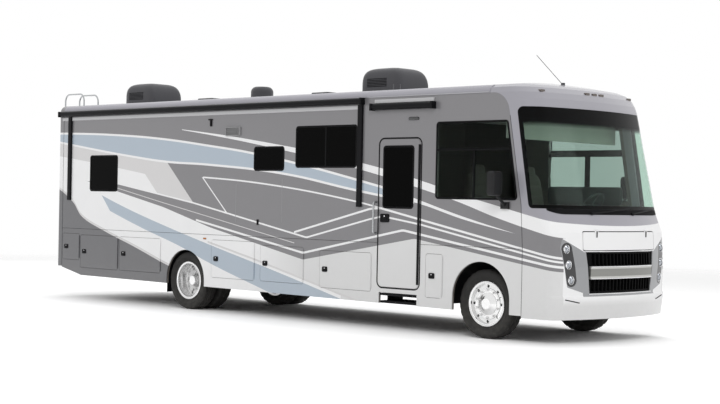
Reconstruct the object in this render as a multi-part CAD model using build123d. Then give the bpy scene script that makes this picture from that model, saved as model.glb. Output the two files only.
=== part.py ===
"""A class A motorhome, in millimetres.

+X points forward, +Y to the left and +Z up. The origin is on the ground, under the middle of the coach.
Stations in the tables are measured from the front axle, forward positive, and heights from the ground.
"""
import os
from collections import namedtuple
from math import atan2, cos, degrees, radians, sin, sqrt

from build123d import *

os.makedirs("parts", exist_ok=True)

Section = namedtuple("Section", "height nose corner lean")
Window = namedtuple("Window", "rear front low high")
Locker = namedtuple("Locker", "name rear front low high")
Lamp = namedtuple("Lamp", "y z width height")
Arch = namedtuple("Arch", "station half top")
Liner = namedtuple("Liner", "station radius inner rear_low front_low")
Tank = namedtuple("Tank", "rear front low high")
Roll = namedtuple("Roll", "rear front radius z")

# Driving dimensions of the coach
FRONT_AXLE_X = 4229.0
WHEELBASE = 6147.0
REAR_AXLE = -WHEELBASE
BODY_WIDTH = 2550.0
HALF_WIDTH = BODY_WIDTH / 2
WALL = 45.0
SEAM = 0.3
DOOR_GAP = 5.0
PAST = 50.0

# Heights
TYRE_RADIUS = 462.0
RAIL_BOTTOM = 700.0
RAIL_DEPTH = 254.0
RAIL_TOP = RAIL_BOTTOM + RAIL_DEPTH
FLOOR_BOTTOM = 1060.0
FLOOR_TOP = 1150.0
WALL_SEAM = 1215.0
DRIP = 3255.0
ROOF_EDGE_RADIUS = 110.0
ROOF_SHOULDER = DRIP + ROOF_EDGE_RADIUS
CROWN_RISE = 65.0
ROOF_TOP = ROOF_SHOULDER + CROWN_RISE

# Stations of the panel joints
ROOF_FRONT = 100.0
REAR_JOINT = REAR_AXLE - 3438.0
REAR_FACE = REAR_JOINT - 160.0
CAP_JOINT_LOW = 690.0
CAP_JOINT_SILL = 655.0
SILL_HEIGHT = 1784.0
PILLAR_TOP = 390.0
PILLAR_RADIUS = 280.0

# Lower edge of the skirts: station, height
SKIRT_EDGE = [(REAR_JOINT + SEAM, 530.0), (REAR_JOINT + 585.0, 410.0), (CAP_JOINT_LOW, 352.0)]

# Front moulding, from the bumper to the brow; lean is from upright, in degrees
BOW_RADIUS = 4000.0
CAP_SECTIONS = [
    Section(height=325.0, nose=1376.0, corner=180.0, lean=0.0),
    Section(height=560.0, nose=1410.0, corner=190.0, lean=0.0),
    Section(height=615.0, nose=1410.0, corner=190.0, lean=0.0),
    Section(height=640.0, nose=1394.0, corner=190.0, lean=0.0),
    Section(height=1000.0, nose=1404.0, corner=200.0, lean=0.0),
    Section(height=1440.0, nose=1376.0, corner=215.0, lean=5.0),
    Section(height=1720.0, nose=1268.0, corner=258.0, lean=12.0),
    Section(height=DRIP - 165.0, nose=955.0, corner=332.0, lean=15.0),
    Section(height=DRIP - 85.0, nose=925.0, corner=345.0, lean=25.0),
    Section(height=DRIP, nose=868.0, corner=355.0, lean=38.0),
    Section(height=DRIP + 70.0, nose=785.0, corner=365.0, lean=55.0),
    Section(height=ROOF_SHOULDER, nose=690.0, corner=370.0, lean=72.0),
]
FOREMOST = max(section.nose for section in CAP_SECTIONS)
BROW_CROWN_NOSE = 340.0

# Windscreen, in side view
GLASS = 12.0
SCREEN_BOTTOM = 1745.0
SCREEN_TOP = DRIP - 195.0
SCREEN_EDGE_BOTTOM = 780.0
SCREEN_EDGE_TOP = 552.0
SCREEN_CORNER = 70.0

# Front access lid
LID_SKIN = 14.0
LID_HALF = 800.0
LID_LOW = 1218.0
LID_HIGH = 1452.0
LID_CORNER = 30.0
LID_GAP = 12.0
LID_HINGE_RADIUS = 8.0
LID_HINGE_SPREAD = 560.0
LID_HINGE_LENGTH = 60.0
LID_HINGE_HEIGHT = 1478.0
LID_STANDOFF = 0.9
STRAP_BACK = 60.0
STRAP_AHEAD = 3.0
STRAP_DROP = 70.0

# Grille and lamps, in front view
GRILLE_TOP = 1196.0
GRILLE_BOTTOM = 663.0
GRILLE_TOP_HALF = 760.0
GRILLE_BOTTOM_HALF = 690.0
GRILLE_SET = 14.0
GRILLE_DEPTH = 34.0
GRILLE_FRAME = 26.0
GRILLE_SLOTS = 18
SLOT_BAR = 16.0
BAR_LOW = 845.0
BAR_HIGH = 1012.0
BAR_PROUD = 12.0
BAR_MARGIN = 8.0
SURROUND_OUTLINE = [(790.0, 1196.0), (1135.0, 1365.0), (1168.0, 1250.0), (1060.0, 745.0), (722.0, 648.0)]
SURROUND_CORNER = 24.0
SURROUND_THICK = 40.0
LAMP_RADIUS = 60.0
LAMP_BODY = 90.0
LAMP_SUNK = 20.0
LAMP_BEVEL = 14.0
LAMP_PLACES = [(1068.0, 1232.0), (1044.0, 1032.0), (998.0, 836.0)]

# Side windows, their heads hung from the drip edge
WINDOW_RADIUS = 35.0
BEDROOM_WINDOW = Window(
    rear=REAR_AXLE - 2619.0, front=REAR_AXLE - 1858.0, low=DRIP - 1370.0, high=DRIP - 783.0
)
GALLEY_WINDOW = Window(rear=-4522.0, front=-3867.0, low=DRIP - 1018.0, high=DRIP - 677.0)
LOUNGE_WINDOW = Window(rear=-3592.0, front=-2344.0, low=DRIP - 973.0, high=DRIP - 384.0)
RIGHT_WINDOWS = [BEDROOM_WINDOW, GALLEY_WINDOW, LOUNGE_WINDOW]
LEFT_WINDOWS = [BEDROOM_WINDOW]
CAB_SILL = SILL_HEIGHT + 73.0
CAB_HEAD = DRIP - 380.0
CAB_WINDOW = [(-810.0, CAB_SILL), (581.0, CAB_SILL), (406.0, CAB_HEAD), (-810.0, CAB_HEAD)]

# Entry door
DOOR_REAR = -1872.0
DOOR_FRONT = -1108.0
DOOR_LOW = 600.0
DOOR_HIGH = DRIP - 590.0
DOOR_RADIUS = 80.0
DOOR_WINDOW = Window(rear=-1793.0, front=-1237.0, low=1713.0, high=DOOR_HIGH - 103.0)
DOOR_LATCH_INSET = 118.0
DOOR_LATCH_Z = 1562.0
DOOR_LATCH_SIZE = 150.0
DOOR_LATCH_PROUD = 14.0
DOOR_HINGE_LIFT = 60.0
HINGE_RADIUS = 8.0
HINGE_STANDOFF = 0.5
LEAF_WIDTH = 34.0
LEAF_THICK = 3.0

# Locker doors
RIGHT_LOCKERS = [
    Locker("rear_service", REAR_AXLE - 3414.0, REAR_AXLE - 2920.0, 672.0, 1123.0),
    Locker("rear_locker", REAR_AXLE - 2877.0, REAR_AXLE - 1808.0, 545.0, 1108.0),
    Locker("axle_locker", REAR_AXLE - 1755.0, REAR_AXLE - 648.0, 549.0, 1108.0),
    Locker("centre_rear_locker", REAR_AXLE + 647.0, REAR_AXLE + 1657.0, 547.0, 1134.0),
    Locker("centre_locker", -4347.0, -3400.0, 550.0, 1090.0),
    Locker("centre_front_locker", -3050.0, -2011.0, 521.0, 1060.0),
    Locker("cab_service", -971.0, -676.0, 499.0, 1091.0),
]
LEFT_LOCKERS = [
    Locker("left_utility_locker", REAR_AXLE - 2877.0, REAR_AXLE - 1808.0, 545.0, 1108.0),
    Locker("left_centre_locker", REAR_AXLE + 647.0, REAR_AXLE + 1657.0, 547.0, 1134.0),
    Locker("left_front_locker", -3050.0, -2011.0, 521.0, 1060.0),
]
LOCKERS_WITHOUT_BOX = ("rear_service", "cab_service")
LOCKER_RADIUS = 30.0
LOCKER_THICK = 40.0
BOX_WALL = 12.0
BOX_INNER_Y = 620.0
BOX_FLOOR = 500.0
BOX_MARGIN = 14.0
LATCH_INSET = 110.0
LATCH_SIZE = 92.0
LATCH_PROUD = 9.0
LATCH_ASPECT = 0.72
LATCH_CORNER = 0.14

# Entry step and step well
STEP_LENGTH = 700.0
STEP_TOP = 511.0
STEP_LOW = 372.0
STEP_INNER_Y = 800.0
STEP_SET = 12.0
STEP_TREAD = 34.0
STEP_TAPER = 20.0
STEP_CHEEK = 22.0
STEP_CHEEK_SET = 160.0
MOUTH_MARGIN = 10.0
MOUTH_TOP = STEP_TOP + 8.0
WELL_SHEET = 30.0
WELL_INNER_Y = 700.0

# Rear cap
REAR_LOW = 545.0
REAR_EDGE_RADIUS = 70.0
TAIL_LAMPS = [
    Lamp(y=1155.0, z=1180.0, width=110.0, height=330.0),
    Lamp(y=1155.0, z=850.0, width=110.0, height=150.0),
]
HIGH_STOP = Lamp(y=0.0, z=DRIP - 235.0, width=420.0, height=60.0)
TAIL_CORNER = 20.0
TAIL_PROUD = 8.0
TAIL_SUNK = 18.0

# Floor
FLOOR_FRONT = 640.0
BEAM_HALF = 600.0
BEAM_WIDTH = 60.0
BEAM_STATIONS = (
    -700.0, -2100.0, -3500.0, REAR_AXLE + 1147.0, REAR_AXLE + 147.0, REAR_AXLE - 1253.0, REAR_AXLE - 2553.0
)

# Left slide-out room
SLIDE_REAR = REAR_AXLE - 1303.0
SLIDE_FRONT = -2450.0
SLIDE_LOW = 1290.0
SLIDE_HIGH = DRIP - 245.0
SLIDE_DEPTH = 760.0
SLIDE_WALL = 40.0
SLIDE_CLEAR = 8.0
SLIDE_CORNER = 10.0
SLIDE_FLANGE = 45.0
SLIDE_FLANGE_THICK = 22.0
SLIDE_SILL = SLIDE_HIGH - 1060.0
SLIDE_HEAD = SLIDE_HIGH - 460.0
SLIDE_WINDOWS = [
    Window(rear=SLIDE_REAR + 550.0, front=SLIDE_REAR + 1750.0, low=SLIDE_SILL, high=SLIDE_HEAD),
    Window(rear=SLIDE_FRONT - 1750.0, front=SLIDE_FRONT - 550.0, low=SLIDE_SILL, high=SLIDE_HEAD),
]

# Wheel arches and their liners
FRONT_ARCH = Arch(station=0.0, half=492.0, top=1024.0)
REAR_ARCH = Arch(station=REAR_AXLE, half=475.0, top=954.0)
LINER_SKIN = 8.0
LINERS = [
    Liner(station=0.0, radius=585.0, inner=525.0, rear_low=430.0, front_low=430.0),
    Liner(station=REAR_AXLE, radius=505.0, inner=600.0, rear_low=250.0, front_low=430.0),
]

# Tyres, in half section
TYRE_WIDTH = 250.0
TREAD_INSET = 32.0
SHOULDER_INSET = 8.0
SHOULDER_DROP = 34.0
BEAD_INSET = 14.0
BEAD_RISE = 8.0

# Wheels
RIM_RADIUS = 286.0
RIM_SHEET = 16.0
RIM_LIP = 14.0
FLANGE_RADIUS = 304.0
RIM_WIDTH = 200.0
FRONT_WHEEL_Y = 1040.0
DUAL_OUTER_Y = 1095.0
DUAL_SPACING = 320.0
DUAL_INNER_Y = DUAL_OUTER_Y - DUAL_SPACING
BEARING_GAP = 0.3
HAND_HOLES = 8
HAND_HOLE_RADIUS = 20.0
HAND_HOLE_CIRCLE = 235.0
DISC = 18.0
DISC_RADIUS = RIM_RADIUS - 10.0
DISC_FOOT = RIM_RADIUS - 34.0
DISC_DISH = 8.0
HUB_RADIUS = 150.0
HUB_SLEEVE = 90.0
HUB_DOME_RADIUS = 110.0
HUB_END_RADIUS = 72.0
HUB_CAP = 16.0
HUB_STEP = 8.0
HUB_SHOULDER = 24.0
FRONT_DISH = 30.0
FRONT_DISC_Y = FRONT_WHEEL_Y + RIM_WIDTH / 2 - FRONT_DISH
FRONT_HUB_OUT = FRONT_DISC_Y + 45.0
REAR_DISC_Y = (DUAL_OUTER_Y + DUAL_INNER_Y) / 2
REAR_HUB_BACK = 70.0
REAR_HUB_NECK = 60.0
REAR_HUB_OUT = DUAL_OUTER_Y + 30.0
LINK_OUTER = RIM_RADIUS - 6.0
LINK_INNER = RIM_RADIUS - 26.0
LINK_LAP = 20.0

# Axles and springs
KINGPIN_Y = 900.0
KINGPIN_RADIUS = 22.0
EYE_RADIUS = 50.0
EYE_LOW = TYRE_RADIUS - 50.0
EYE_HIGH = TYRE_RADIUS + 50.0
EYE_LEDGE = 8.0
YOKE_PLATE = 24.0
YOKE_GAP = 5.0
YOKE_SWING = 45.0
YOKE_WEB = 30.0
YOKE_HALF = 48.0
STEER_ARM_END = 190.0
STEER_ARM_WIDTH = 40.0
BEAM_LOW = 330.0
BEAM_DEPTH = 80.0
BEAM_THICK = 84.0
BEAM_KINK = 600.0
SPINDLE_RADIUS = 38.0
AXLE_TUBE_RADIUS = 75.0
REAR_TUBE_END = 620.0
DIFF_RADIUS = 190.0
PINION_RADIUS = 70.0
PINION_NOSE = 60.0
SEAT_WIDTH = 90.0
FRONT_SEAT = 470.0
FRONT_SEAT_LOW = BEAM_LOW + 20.0
FRONT_SEAT_HALF = 70.0
REAR_SEAT = 560.0
REAR_SEAT_HALF = 80.0
SPRING_WIDTH = 76.0
SPRING_THICK = 46.0
SPRING_TIP_THICK = 27.6
SPRING_TIP = RAIL_BOTTOM - 90.0
SPRING_HALF = 640.0
HANGER = 40.0

# Frame, engine and tanks
RAIL_OUTER_Y = 432.0
RAIL_FLANGE = 80.0
RAIL_SHEET = 10.0
RAIL_FRONT = 1090.0
RAIL_REAR = REAR_JOINT - 15.0
SPRING_Y = RAIL_OUTER_Y - SPRING_WIDTH / 2
CROSS_TUBE_RADIUS = 40.0
CROSS_TUBE_Z = RAIL_TOP - 60.0
CROSS_STATIONS = (1060.0, -1300.0, -2450.0, REAR_AXLE + 1347.0, REAR_AXLE - 853.0, REAR_AXLE - 3103.0)
BETWEEN_RAILS = RAIL_OUTER_Y - RAIL_FLANGE - SEAM
ENGINE_FRONT = 980.0
ENGINE_REAR = 230.0
ENGINE_HALF = 290.0
ENGINE_LOW = 600.0
MOUNT_FRONT = 700.0
MOUNT_REAR = 300.0
MOUNT_LOW = 720.0
MOUNT_HIGH = 820.0
GEARBOX_RADIUS = 150.0
GEARBOX_Z = 760.0
GEARBOX_REAR = -720.0
GEARBOX_LAP = 10.0
SHAFT_RADIUS = 45.0
SHAFT_GAP = 4.0
EXHAUST_Z = 800.0
MUFFLER_RADIUS = 95.0
MUFFLER_FRONT = -3400.0
MUFFLER_REAR = -4300.0
PIPE_RADIUS = 38.0
PIPE_FRONT = -600.0
PIPE_REAR = REAR_AXLE + 847.0
TANK_ROUND = 25.0
TANKS = [
    Tank(rear=REAR_AXLE - 2853.0, front=REAR_AXLE - 1103.0, low=540.0, high=860.0),
    Tank(rear=-4650.0, front=-3560.0, low=720.0, high=RAIL_TOP + 20.0),
]

# Hitch receiver
RECEIVER_BORE = 51.0
RECEIVER_WALL = 6.5
RECEIVER_Z = 470.0
RECEIVER_LENGTH = 240.0
RECEIVER_BACK = 45.0
RECEIVER_MOUTH = REAR_FACE + 45.0
PIN_RADIUS = 8.0
PIN_FROM_MOUTH = 60.0
HITCH_BAR_HALF = 40.0
HITCH_PLATE = 12.0
HITCH_PLATE_HALF = 60.0

# Roof equipment, rising from the crown of the roof
SUNK_FOOT = 120.0
COOLER_STATIONS = (-2800.0, REAR_AXLE - 2543.0)
COOLER_LENGTH = 820.0
COOLER_HALF = 345.0
COOLER_RISE = 370.0
COOLER_SIDE_LEAN = 18.0
COOLER_NOSE_LEAN = 90.0
COOLER_TOP_ROUND = 110.0
COOLER_RIM_ROUND = 60.0
DOME_STATION = REAR_AXLE + 347.0
DOME_RADIUS = 185.0
DOME_RISE = 210.0
DOME_ROUND = 90.0
HATCHES = ((-4250.0, 0.0), (REAR_AXLE - 903.0, 0.0))
HATCH_HALF = 190.0
HATCH_RISE = 50.0
HATCH_CORNER = 40.0
VENT_CAPS = ((-2000.0, -820.0), (REAR_AXLE - 353.0, 700.0), (REAR_AXLE - 2853.0, 600.0))
VENT_RADIUS = 55.0
VENT_RISE = 80.0
WHIP_STATION = 330.0
WHIP_BASE = 28.0
WHIP_RADIUS = 4.0
WHIP_TIP_STATION = -130.0
WHIP_RISE = 430.0

# Rear ladder and grab rail
LADDER_REAR = REAR_FACE - 105.0
LADDER_FRONT = REAR_FACE + 455.0
LADDER_Y = (-1070.0, -770.0)
LADDER_LOW = 760.0
LADDER_TOP = ROOF_TOP + 150.0
LADDER_BEND = 120.0
LADDER_TUBE = 13.0
LADDER_STAYS = (900.0, 1900.0, DRIP - 305.0)
STAY_TUBE = 11.0
RUNG_TUBE = 12.0
RUNG_FIRST = LADDER_LOW + 100.0
RUNG_LAST = LADDER_TOP - 200.0
RUNG_STEP = 300.0
GRAB_STATION = -1924.0
GRAB_LOW = 1347.0
GRAB_HIGH = 1784.0
GRAB_OFF = 62.0
GRAB_TUBE = 14.0
GRAB_BEND = 30.0

# Awnings
LONG_ROLL = Roll(rear=REAR_JOINT - 65.0, front=-2190.0, radius=44.0, z=DRIP - 43.0)
DOOR_ROLL = Roll(rear=-2016.0, front=-839.0, radius=45.0, z=DRIP - 135.0)
ROLL_CAP = 30.0
ROLL_CAP_RIM = 3.0
ROLL_CAP_FOOT = 6.0
AWNING_ARMS = (LONG_ROLL.rear + 280.0, LONG_ROLL.front - 67.0)
ARM_LOW = 1710.0
ARM_WIDTH = 90.0
ARM_DEPTH = 36.0
ARM_ROUND = 10.0

# Mirrors
MIRROR_STATION = 343.0
MIRROR_HEAD_LOW = 1895.0
MIRROR_HEAD_HIGH = 2215.0
MIRROR_REACH = 325.0
MIRROR_WIDTH = 200.0
MIRROR_DEPTH = 110.0
MIRROR_CORNER = 45.0
MIRROR_ROUND = 32.0
MIRROR_ARM = 20.0
MIRROR_BASE_STATION = 400.0
MIRROR_BASE_Z = 1773.0
MIRROR_BASE_HALF = 65.0
MIRROR_BASE_RISE = 45.0
MIRROR_BASE_THICK = 30.0

# Wipers and clearance lamps
WIPERS = ((-560.0, 280.0), (330.0, 1000.0))
WIPER_Z = 1690.0
WIPER_TIP_Z = 1760.0
WIPER_OFF = 24.0
WIPER_RADIUS = 9.0
WIPER_BOSS = 22.0
WIPER_BOSS_LENGTH = 96.0
MARKERS = (-980.0, -160.0, 0.0, 160.0, 980.0)
MARKER_Z = DRIP + 20.0
MARKER_WIDTH = 90.0
MARKER_HEIGHT = 34.0
MARKER_DEPTH = 50.0
MARKER_SUNK = 6.0
MARKER_CORNER = 12.0
REAR_MARKER_Z = DRIP - 60.0
REAR_MARKER_HEIGHT = 30.0
REAR_MARKER_PROUD = 18.0

# Inside of the cab: the dashboard in side view, then wheel, seats and cabinet
DASH_FOOT = FLOOR_TOP + SEAM
DASH_SIDE = [
    (560.0, DASH_FOOT),
    (760.0, DASH_FOOT),
    (1240.0, 1500.0),
    (1240.0, 1640.0),
    (900.0, 1700.0),
    (620.0, 1640.0),
    (560.0, 1560.0),
]
STEERING_STATION = 430.0
STEERING_Z = 1790.0
STEERING_RADIUS = 215.0
STEERING_GRIP = 17.0
SPOKE_WIDTH = 40.0
SPOKE_THICK = 18.0
COLUMN_STATION = 700.0
COLUMN_Z = 1560.0
COLUMN_RADIUS = 35.0
SEAT_Y = 560.0
SEAT_STATION = -330.0
PEDESTAL_LENGTH = 320.0
PEDESTAL_WIDTH = 300.0
CUSHION_LOW = 1480.0
CUSHION_THICK = 140.0
CUSHION_SIZE = 520.0
CUSHION_ROUND = 40.0
BACK_SET = 290.0
BACK_Z = 1950.0
BACK_THICK = 130.0
BACK_WIDTH = 500.0
BACK_HEIGHT = 760.0
BACK_RECLINE = 12.0
CABINET_REAR = -600.0
CABINET_FRONT = 330.0
CABINET_LOW = DRIP - 355.0
CABINET_SET = WALL + 3 * SEAM


# Shapes used throughout
def ahead(station):
    """X of a station measured from the front axle."""
    return FRONT_AXLE_X + station


def slab(x_low, x_high, y_low, y_high, z_low, z_high):
    """A box between two corners."""
    middle = Pos((x_low + x_high) / 2, (y_low + y_high) / 2, (z_low + z_high) / 2)
    return middle * Box(x_high - x_low, y_high - y_low, z_high - z_low)


def across(side_view, y_low, y_high):
    """A side-view outline made solid between two widths."""
    plane = Plane(origin=(0, y_high, 0), x_dir=(1, 0, 0), z_dir=(0, -1, 0))
    return extrude(plane * side_view, y_high - y_low)


def along(front_view, x_low, x_high):
    """A front-view outline, left positive, made solid between two lengths."""
    plane = Plane(origin=(x_low, 0, 0), x_dir=(0, 1, 0), z_dir=(1, 0, 0))
    return extrude(plane * front_view, x_high - x_low)


def polygon(points):
    """A flat outline through the points."""
    return make_face(Polyline(*points, close=True))


def band(u_low, u_high, v_low, v_high):
    """A flat rectangle between two corners."""
    return Pos((u_low + u_high) / 2, (v_low + v_high) / 2) * Rectangle(u_high - u_low, v_high - v_low)


def rounded(outline, corners, radius):
    """The outline with the corners nearest to the given points rounded."""
    picked = [outline.vertices().sort_by_distance((x, z, 0))[0] for x, z in corners]
    return fillet(picked, radius)


def opening(rear, front, low, high, radius, grow=0.0):
    """A rounded side-view rectangle between two stations and two heights."""
    place = Pos(ahead((rear + front) / 2), (low + high) / 2)
    return place * RectangleRounded(front - rear + 2 * grow, high - low + 2 * grow, radius + grow)


def y_rod(radius, x, z, y_low, y_high):
    """A round bar across the coach."""
    return Pos(x, (y_low + y_high) / 2, z) * Rot(90, 0, 0) * Cylinder(radius, y_high - y_low)


def z_rod(radius, x, y, z_low, z_high):
    """An upright round bar."""
    return Pos(x, y, (z_low + z_high) / 2) * Cylinder(radius, z_high - z_low)


def x_rod(radius, y, z, x_low, x_high):
    """A round bar along the coach."""
    return Pos((x_low + x_high) / 2, y, z) * Rot(0, 90, 0) * Cylinder(radius, x_high - x_low)


def bar_between(radius, start, end):
    """A round bar from one point to another."""
    line = Line(start, end)
    return extrude(Plane(origin=start, z_dir=line % 0) * Circle(radius), line.length)


def tube_along(radius, path):
    """A round bar bent along a path."""
    return sweep(Plane(origin=path @ 0, z_dir=path % 0) * Circle(radius), path)


def mirrored(solid):
    """The same piece on the left side."""
    return mirror(solid, about=Plane.XZ)


def save(name, *pieces):
    """Write one node, its solids side by side."""
    solids = [solid for piece in pieces for solid in piece.solids()]
    shape = solids[0] if len(solids) == 1 else Compound(children=solids)
    export_step(shape, f"parts/{name}.step")


# Body envelope
def half_width_at(height):
    """Half width of the coach at a height, with its rounded roof edge."""
    above = min(max(height - DRIP, 0.0), ROOF_EDGE_RADIUS)
    return HALF_WIDTH - ROOF_EDGE_RADIUS + sqrt(ROOF_EDGE_RADIUS**2 - above**2)


def bow_drop(y):
    """How far the bowed nose falls back at a distance from the middle."""
    return BOW_RADIUS - sqrt(BOW_RADIUS**2 - y**2)


def nose_at(height):
    """Station of the nose at a height, between the sections."""
    for low, high in zip(CAP_SECTIONS, CAP_SECTIONS[1:]):
        if height <= high.height:
            share = (height - low.height) / (high.height - low.height)
            return low.nose + share * (high.nose - low.nose)
    return CAP_SECTIONS[-1].nose


def crown_height(y):
    """Height of the roof at a distance from its middle."""
    half = HALF_WIDTH - ROOF_EDGE_RADIUS
    radius = (half**2 + CROWN_RISE**2) / (2 * CROWN_RISE)
    return ROOF_TOP - radius + sqrt(radius**2 - y**2)


def plan_outline(nose, half, corner, back):
    """Bowed nose, two rounded corners and straight sides, seen from above."""
    shoulder = nose - bow_drop(half)
    outline = make_face(
        [
            Line((ahead(back), -half), (ahead(shoulder), -half)),
            ThreePointArc((ahead(shoulder), -half), (ahead(nose), 0), (ahead(shoulder), half)),
            Line((ahead(shoulder), half), (ahead(back), half)),
            Line((ahead(back), half), (ahead(back), -half)),
        ]
    )
    return fillet(outline.vertices().sort_by(Axis.X)[-2:], corner)


def front_envelope(inset=0.0, back=ROOF_FRONT, below=0.0):
    """The front moulding's outer form, moved inward by an inset and carried on below its lower edge."""
    sections = []
    for height, nose, corner, lean in CAP_SECTIONS:
        inward = inset * cos(radians(lean))
        drop = inset * sin(radians(lean))
        outline = plan_outline(nose - inward, half_width_at(height) - inward, corner - inward, back)
        sections.append(Pos(0, 0, height - drop) * outline)
    form = loft(sections, ruled=True)
    if below:
        low = CAP_SECTIONS[0]
        foot = plan_outline(low.nose - inset, half_width_at(low.height) - inset, low.corner - inset, back)
        form += extrude(Pos(0, 0, low.height - below) * foot, below)
    return form


def roof_section(inset=0.0, low=DRIP):
    """Front view of the body from a height up to the crown, moved inward by an inset."""
    side = HALF_WIDTH - inset
    radius = ROOF_EDGE_RADIUS - inset
    turn = radius * sin(radians(45))
    inner = side - radius
    shoulder = DRIP + radius
    crown = ROOF_TOP - inset
    edges = [
        ThreePointArc((-side, DRIP), (-inner - turn, DRIP + turn), (-inner, shoulder)),
        ThreePointArc((-inner, shoulder), (0, crown), (inner, shoulder)),
        ThreePointArc((inner, shoulder), (inner + turn, DRIP + turn), (side, DRIP)),
        Line((side, low), (-side, low)),
    ]
    if low < DRIP:
        edges += [Line((-side, low), (-side, DRIP)), Line((side, DRIP), (side, low))]
    return make_face(edges)


def wall_zone(low, rear, grow=0.0):
    """Side view of the wall, up to its slanted front edge along the windscreen pillar."""
    head = (ahead(PILLAR_TOP) + grow, DRIP)
    points = [
        (ahead(rear), WALL_SEAM),
        (ahead(CAP_JOINT_LOW) + grow, WALL_SEAM),
        (ahead(CAP_JOINT_SILL) + grow, SILL_HEIGHT),
        head,
        (ahead(rear), DRIP),
    ]
    zone = rounded(polygon(points), [head], PILLAR_RADIUS)
    if low < WALL_SEAM:
        zone += band(ahead(rear), ahead(CAP_JOINT_LOW) + grow, low, WALL_SEAM)
    return zone


def brow_crown():
    """The crowned top of the front moulding, running out towards the brow."""
    brow = CAP_SECTIONS[-1]
    half = HALF_WIDTH - ROOF_EDGE_RADIUS
    back = ROOF_FRONT - BROW_CROWN_NOSE
    foot = plan_outline(brow.nose, half, brow.corner, back)
    peak = plan_outline(BROW_CROWN_NOSE, half, brow.corner, back)
    crown_zone = loft([Pos(0, 0, brow.height) * foot, Pos(0, 0, ROOF_TOP) * peak], ruled=True)
    return along(roof_section(), ahead(ROOF_FRONT), ahead(brow.nose)) & crown_zone


CAP_OUTER = front_envelope()
CAP_CROWN = brow_crown()
CAP_INNER = front_envelope(WALL, ROOF_FRONT - 4 * PAST, below=2 * PAST)
ROOF_OUTER = along(roof_section(), ahead(REAR_FACE), ahead(ROOF_FRONT))


# Front moulding, windscreen, lid, grille and lamps
def screen_zone(shrink):
    """Side view of the wrap-around windscreen."""
    rear_low = (ahead(SCREEN_EDGE_BOTTOM) + shrink, SCREEN_BOTTOM + shrink)
    rear_high = (ahead(SCREEN_EDGE_TOP) + shrink, SCREEN_TOP - shrink)
    past_nose = ahead(FOREMOST) + PAST
    points = [rear_low, (past_nose, rear_low[1]), (past_nose, rear_high[1]), rear_high]
    return rounded(polygon(points), [rear_low, rear_high], SCREEN_CORNER)


def front_prism(front_view):
    """A front-view outline carried through the nose."""
    return along(front_view, ahead(CAP_JOINT_LOW), ahead(FOREMOST) + 2 * PAST)


def skin(front_view, proud, depth):
    """A front-view outline cut from the nose, from a height above its surface to a depth below it."""
    return (front_envelope(-proud, 0) & front_prism(front_view)) - front_envelope(depth, -4 * PAST, 2 * PAST)


def lid_outline(grow):
    """Front view of the access lid."""
    place = Pos(0, (LID_LOW + LID_HIGH) / 2)
    return place * RectangleRounded(2 * (LID_HALF + grow), LID_HIGH - LID_LOW + 2 * grow, LID_CORNER)


def grille_outline(shrink):
    """Front view of the tapered grille."""
    top = GRILLE_TOP_HALF - shrink
    bottom = GRILLE_BOTTOM_HALF - shrink
    high = GRILLE_TOP - shrink
    low = GRILLE_BOTTOM + shrink
    return polygon([(-bottom, low), (bottom, low), (top, high), (-top, high)])


def surround_outline(shrink):
    """Front view of the left lamp surround, beside the grille."""
    outline = fillet(polygon(SURROUND_OUTLINE).vertices(), SURROUND_CORNER)
    return offset(outline, -shrink) if shrink else outline


def make_front():
    """The moulding and what is let into it."""
    both_surrounds = surround_outline(0) + mirror(surround_outline(0), about=Plane.YZ)
    cap = CAP_OUTER - CAP_INNER
    cap += CAP_CROWN
    cap -= across(wall_zone(-2 * PAST, ROOF_FRONT - 8 * PAST, SEAM), -HALF_WIDTH - PAST, HALF_WIDTH + PAST)
    cap -= across(screen_zone(0), -HALF_WIDTH - PAST, HALF_WIDTH + PAST)
    for outline in (lid_outline(LID_GAP), grille_outline(0), both_surrounds):
        cap -= front_prism(outline)
    save("front_cap", cap)

    screen = CAP_OUTER & across(screen_zone(SEAM), -HALF_WIDTH, HALF_WIDTH)
    save("windscreen", screen - front_envelope(GLASS, 0))

    make_lid()
    make_grille()
    make_headlamps()


def lid_hinge_x():
    """The lid turns about a line just ahead of the moulding at its two hinges."""
    foremost = LID_HINGE_SPREAD - LID_HINGE_LENGTH / 2
    lowest = LID_HINGE_HEIGHT - LID_HINGE_RADIUS
    return ahead(nose_at(lowest)) - bow_drop(foremost) + LID_HINGE_RADIUS + LID_STANDOFF


def make_lid():
    """The access lid, with a strap and a barrel at each of its two hinges."""
    lid = (CAP_OUTER & front_prism(lid_outline(0))) - front_envelope(LID_SKIN, 0)
    x = lid_hinge_x()
    strap_top = LID_HINGE_HEIGHT - LID_HINGE_RADIUS / 2
    for side in (-1, 1):
        low_y = side * LID_HINGE_SPREAD - LID_HINGE_LENGTH / 2
        high_y = low_y + LID_HINGE_LENGTH
        strap = slab(x - STRAP_BACK, x + STRAP_AHEAD, low_y, high_y, LID_HIGH - STRAP_DROP, strap_top)
        lid += (strap & front_prism(lid_outline(0))) - CAP_OUTER
        lid += strap - front_envelope(-LID_STANDOFF, 0)
        lid += y_rod(LID_HINGE_RADIUS, x, LID_HINGE_HEIGHT, low_y, high_y)
    save("front_lid", lid)


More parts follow.
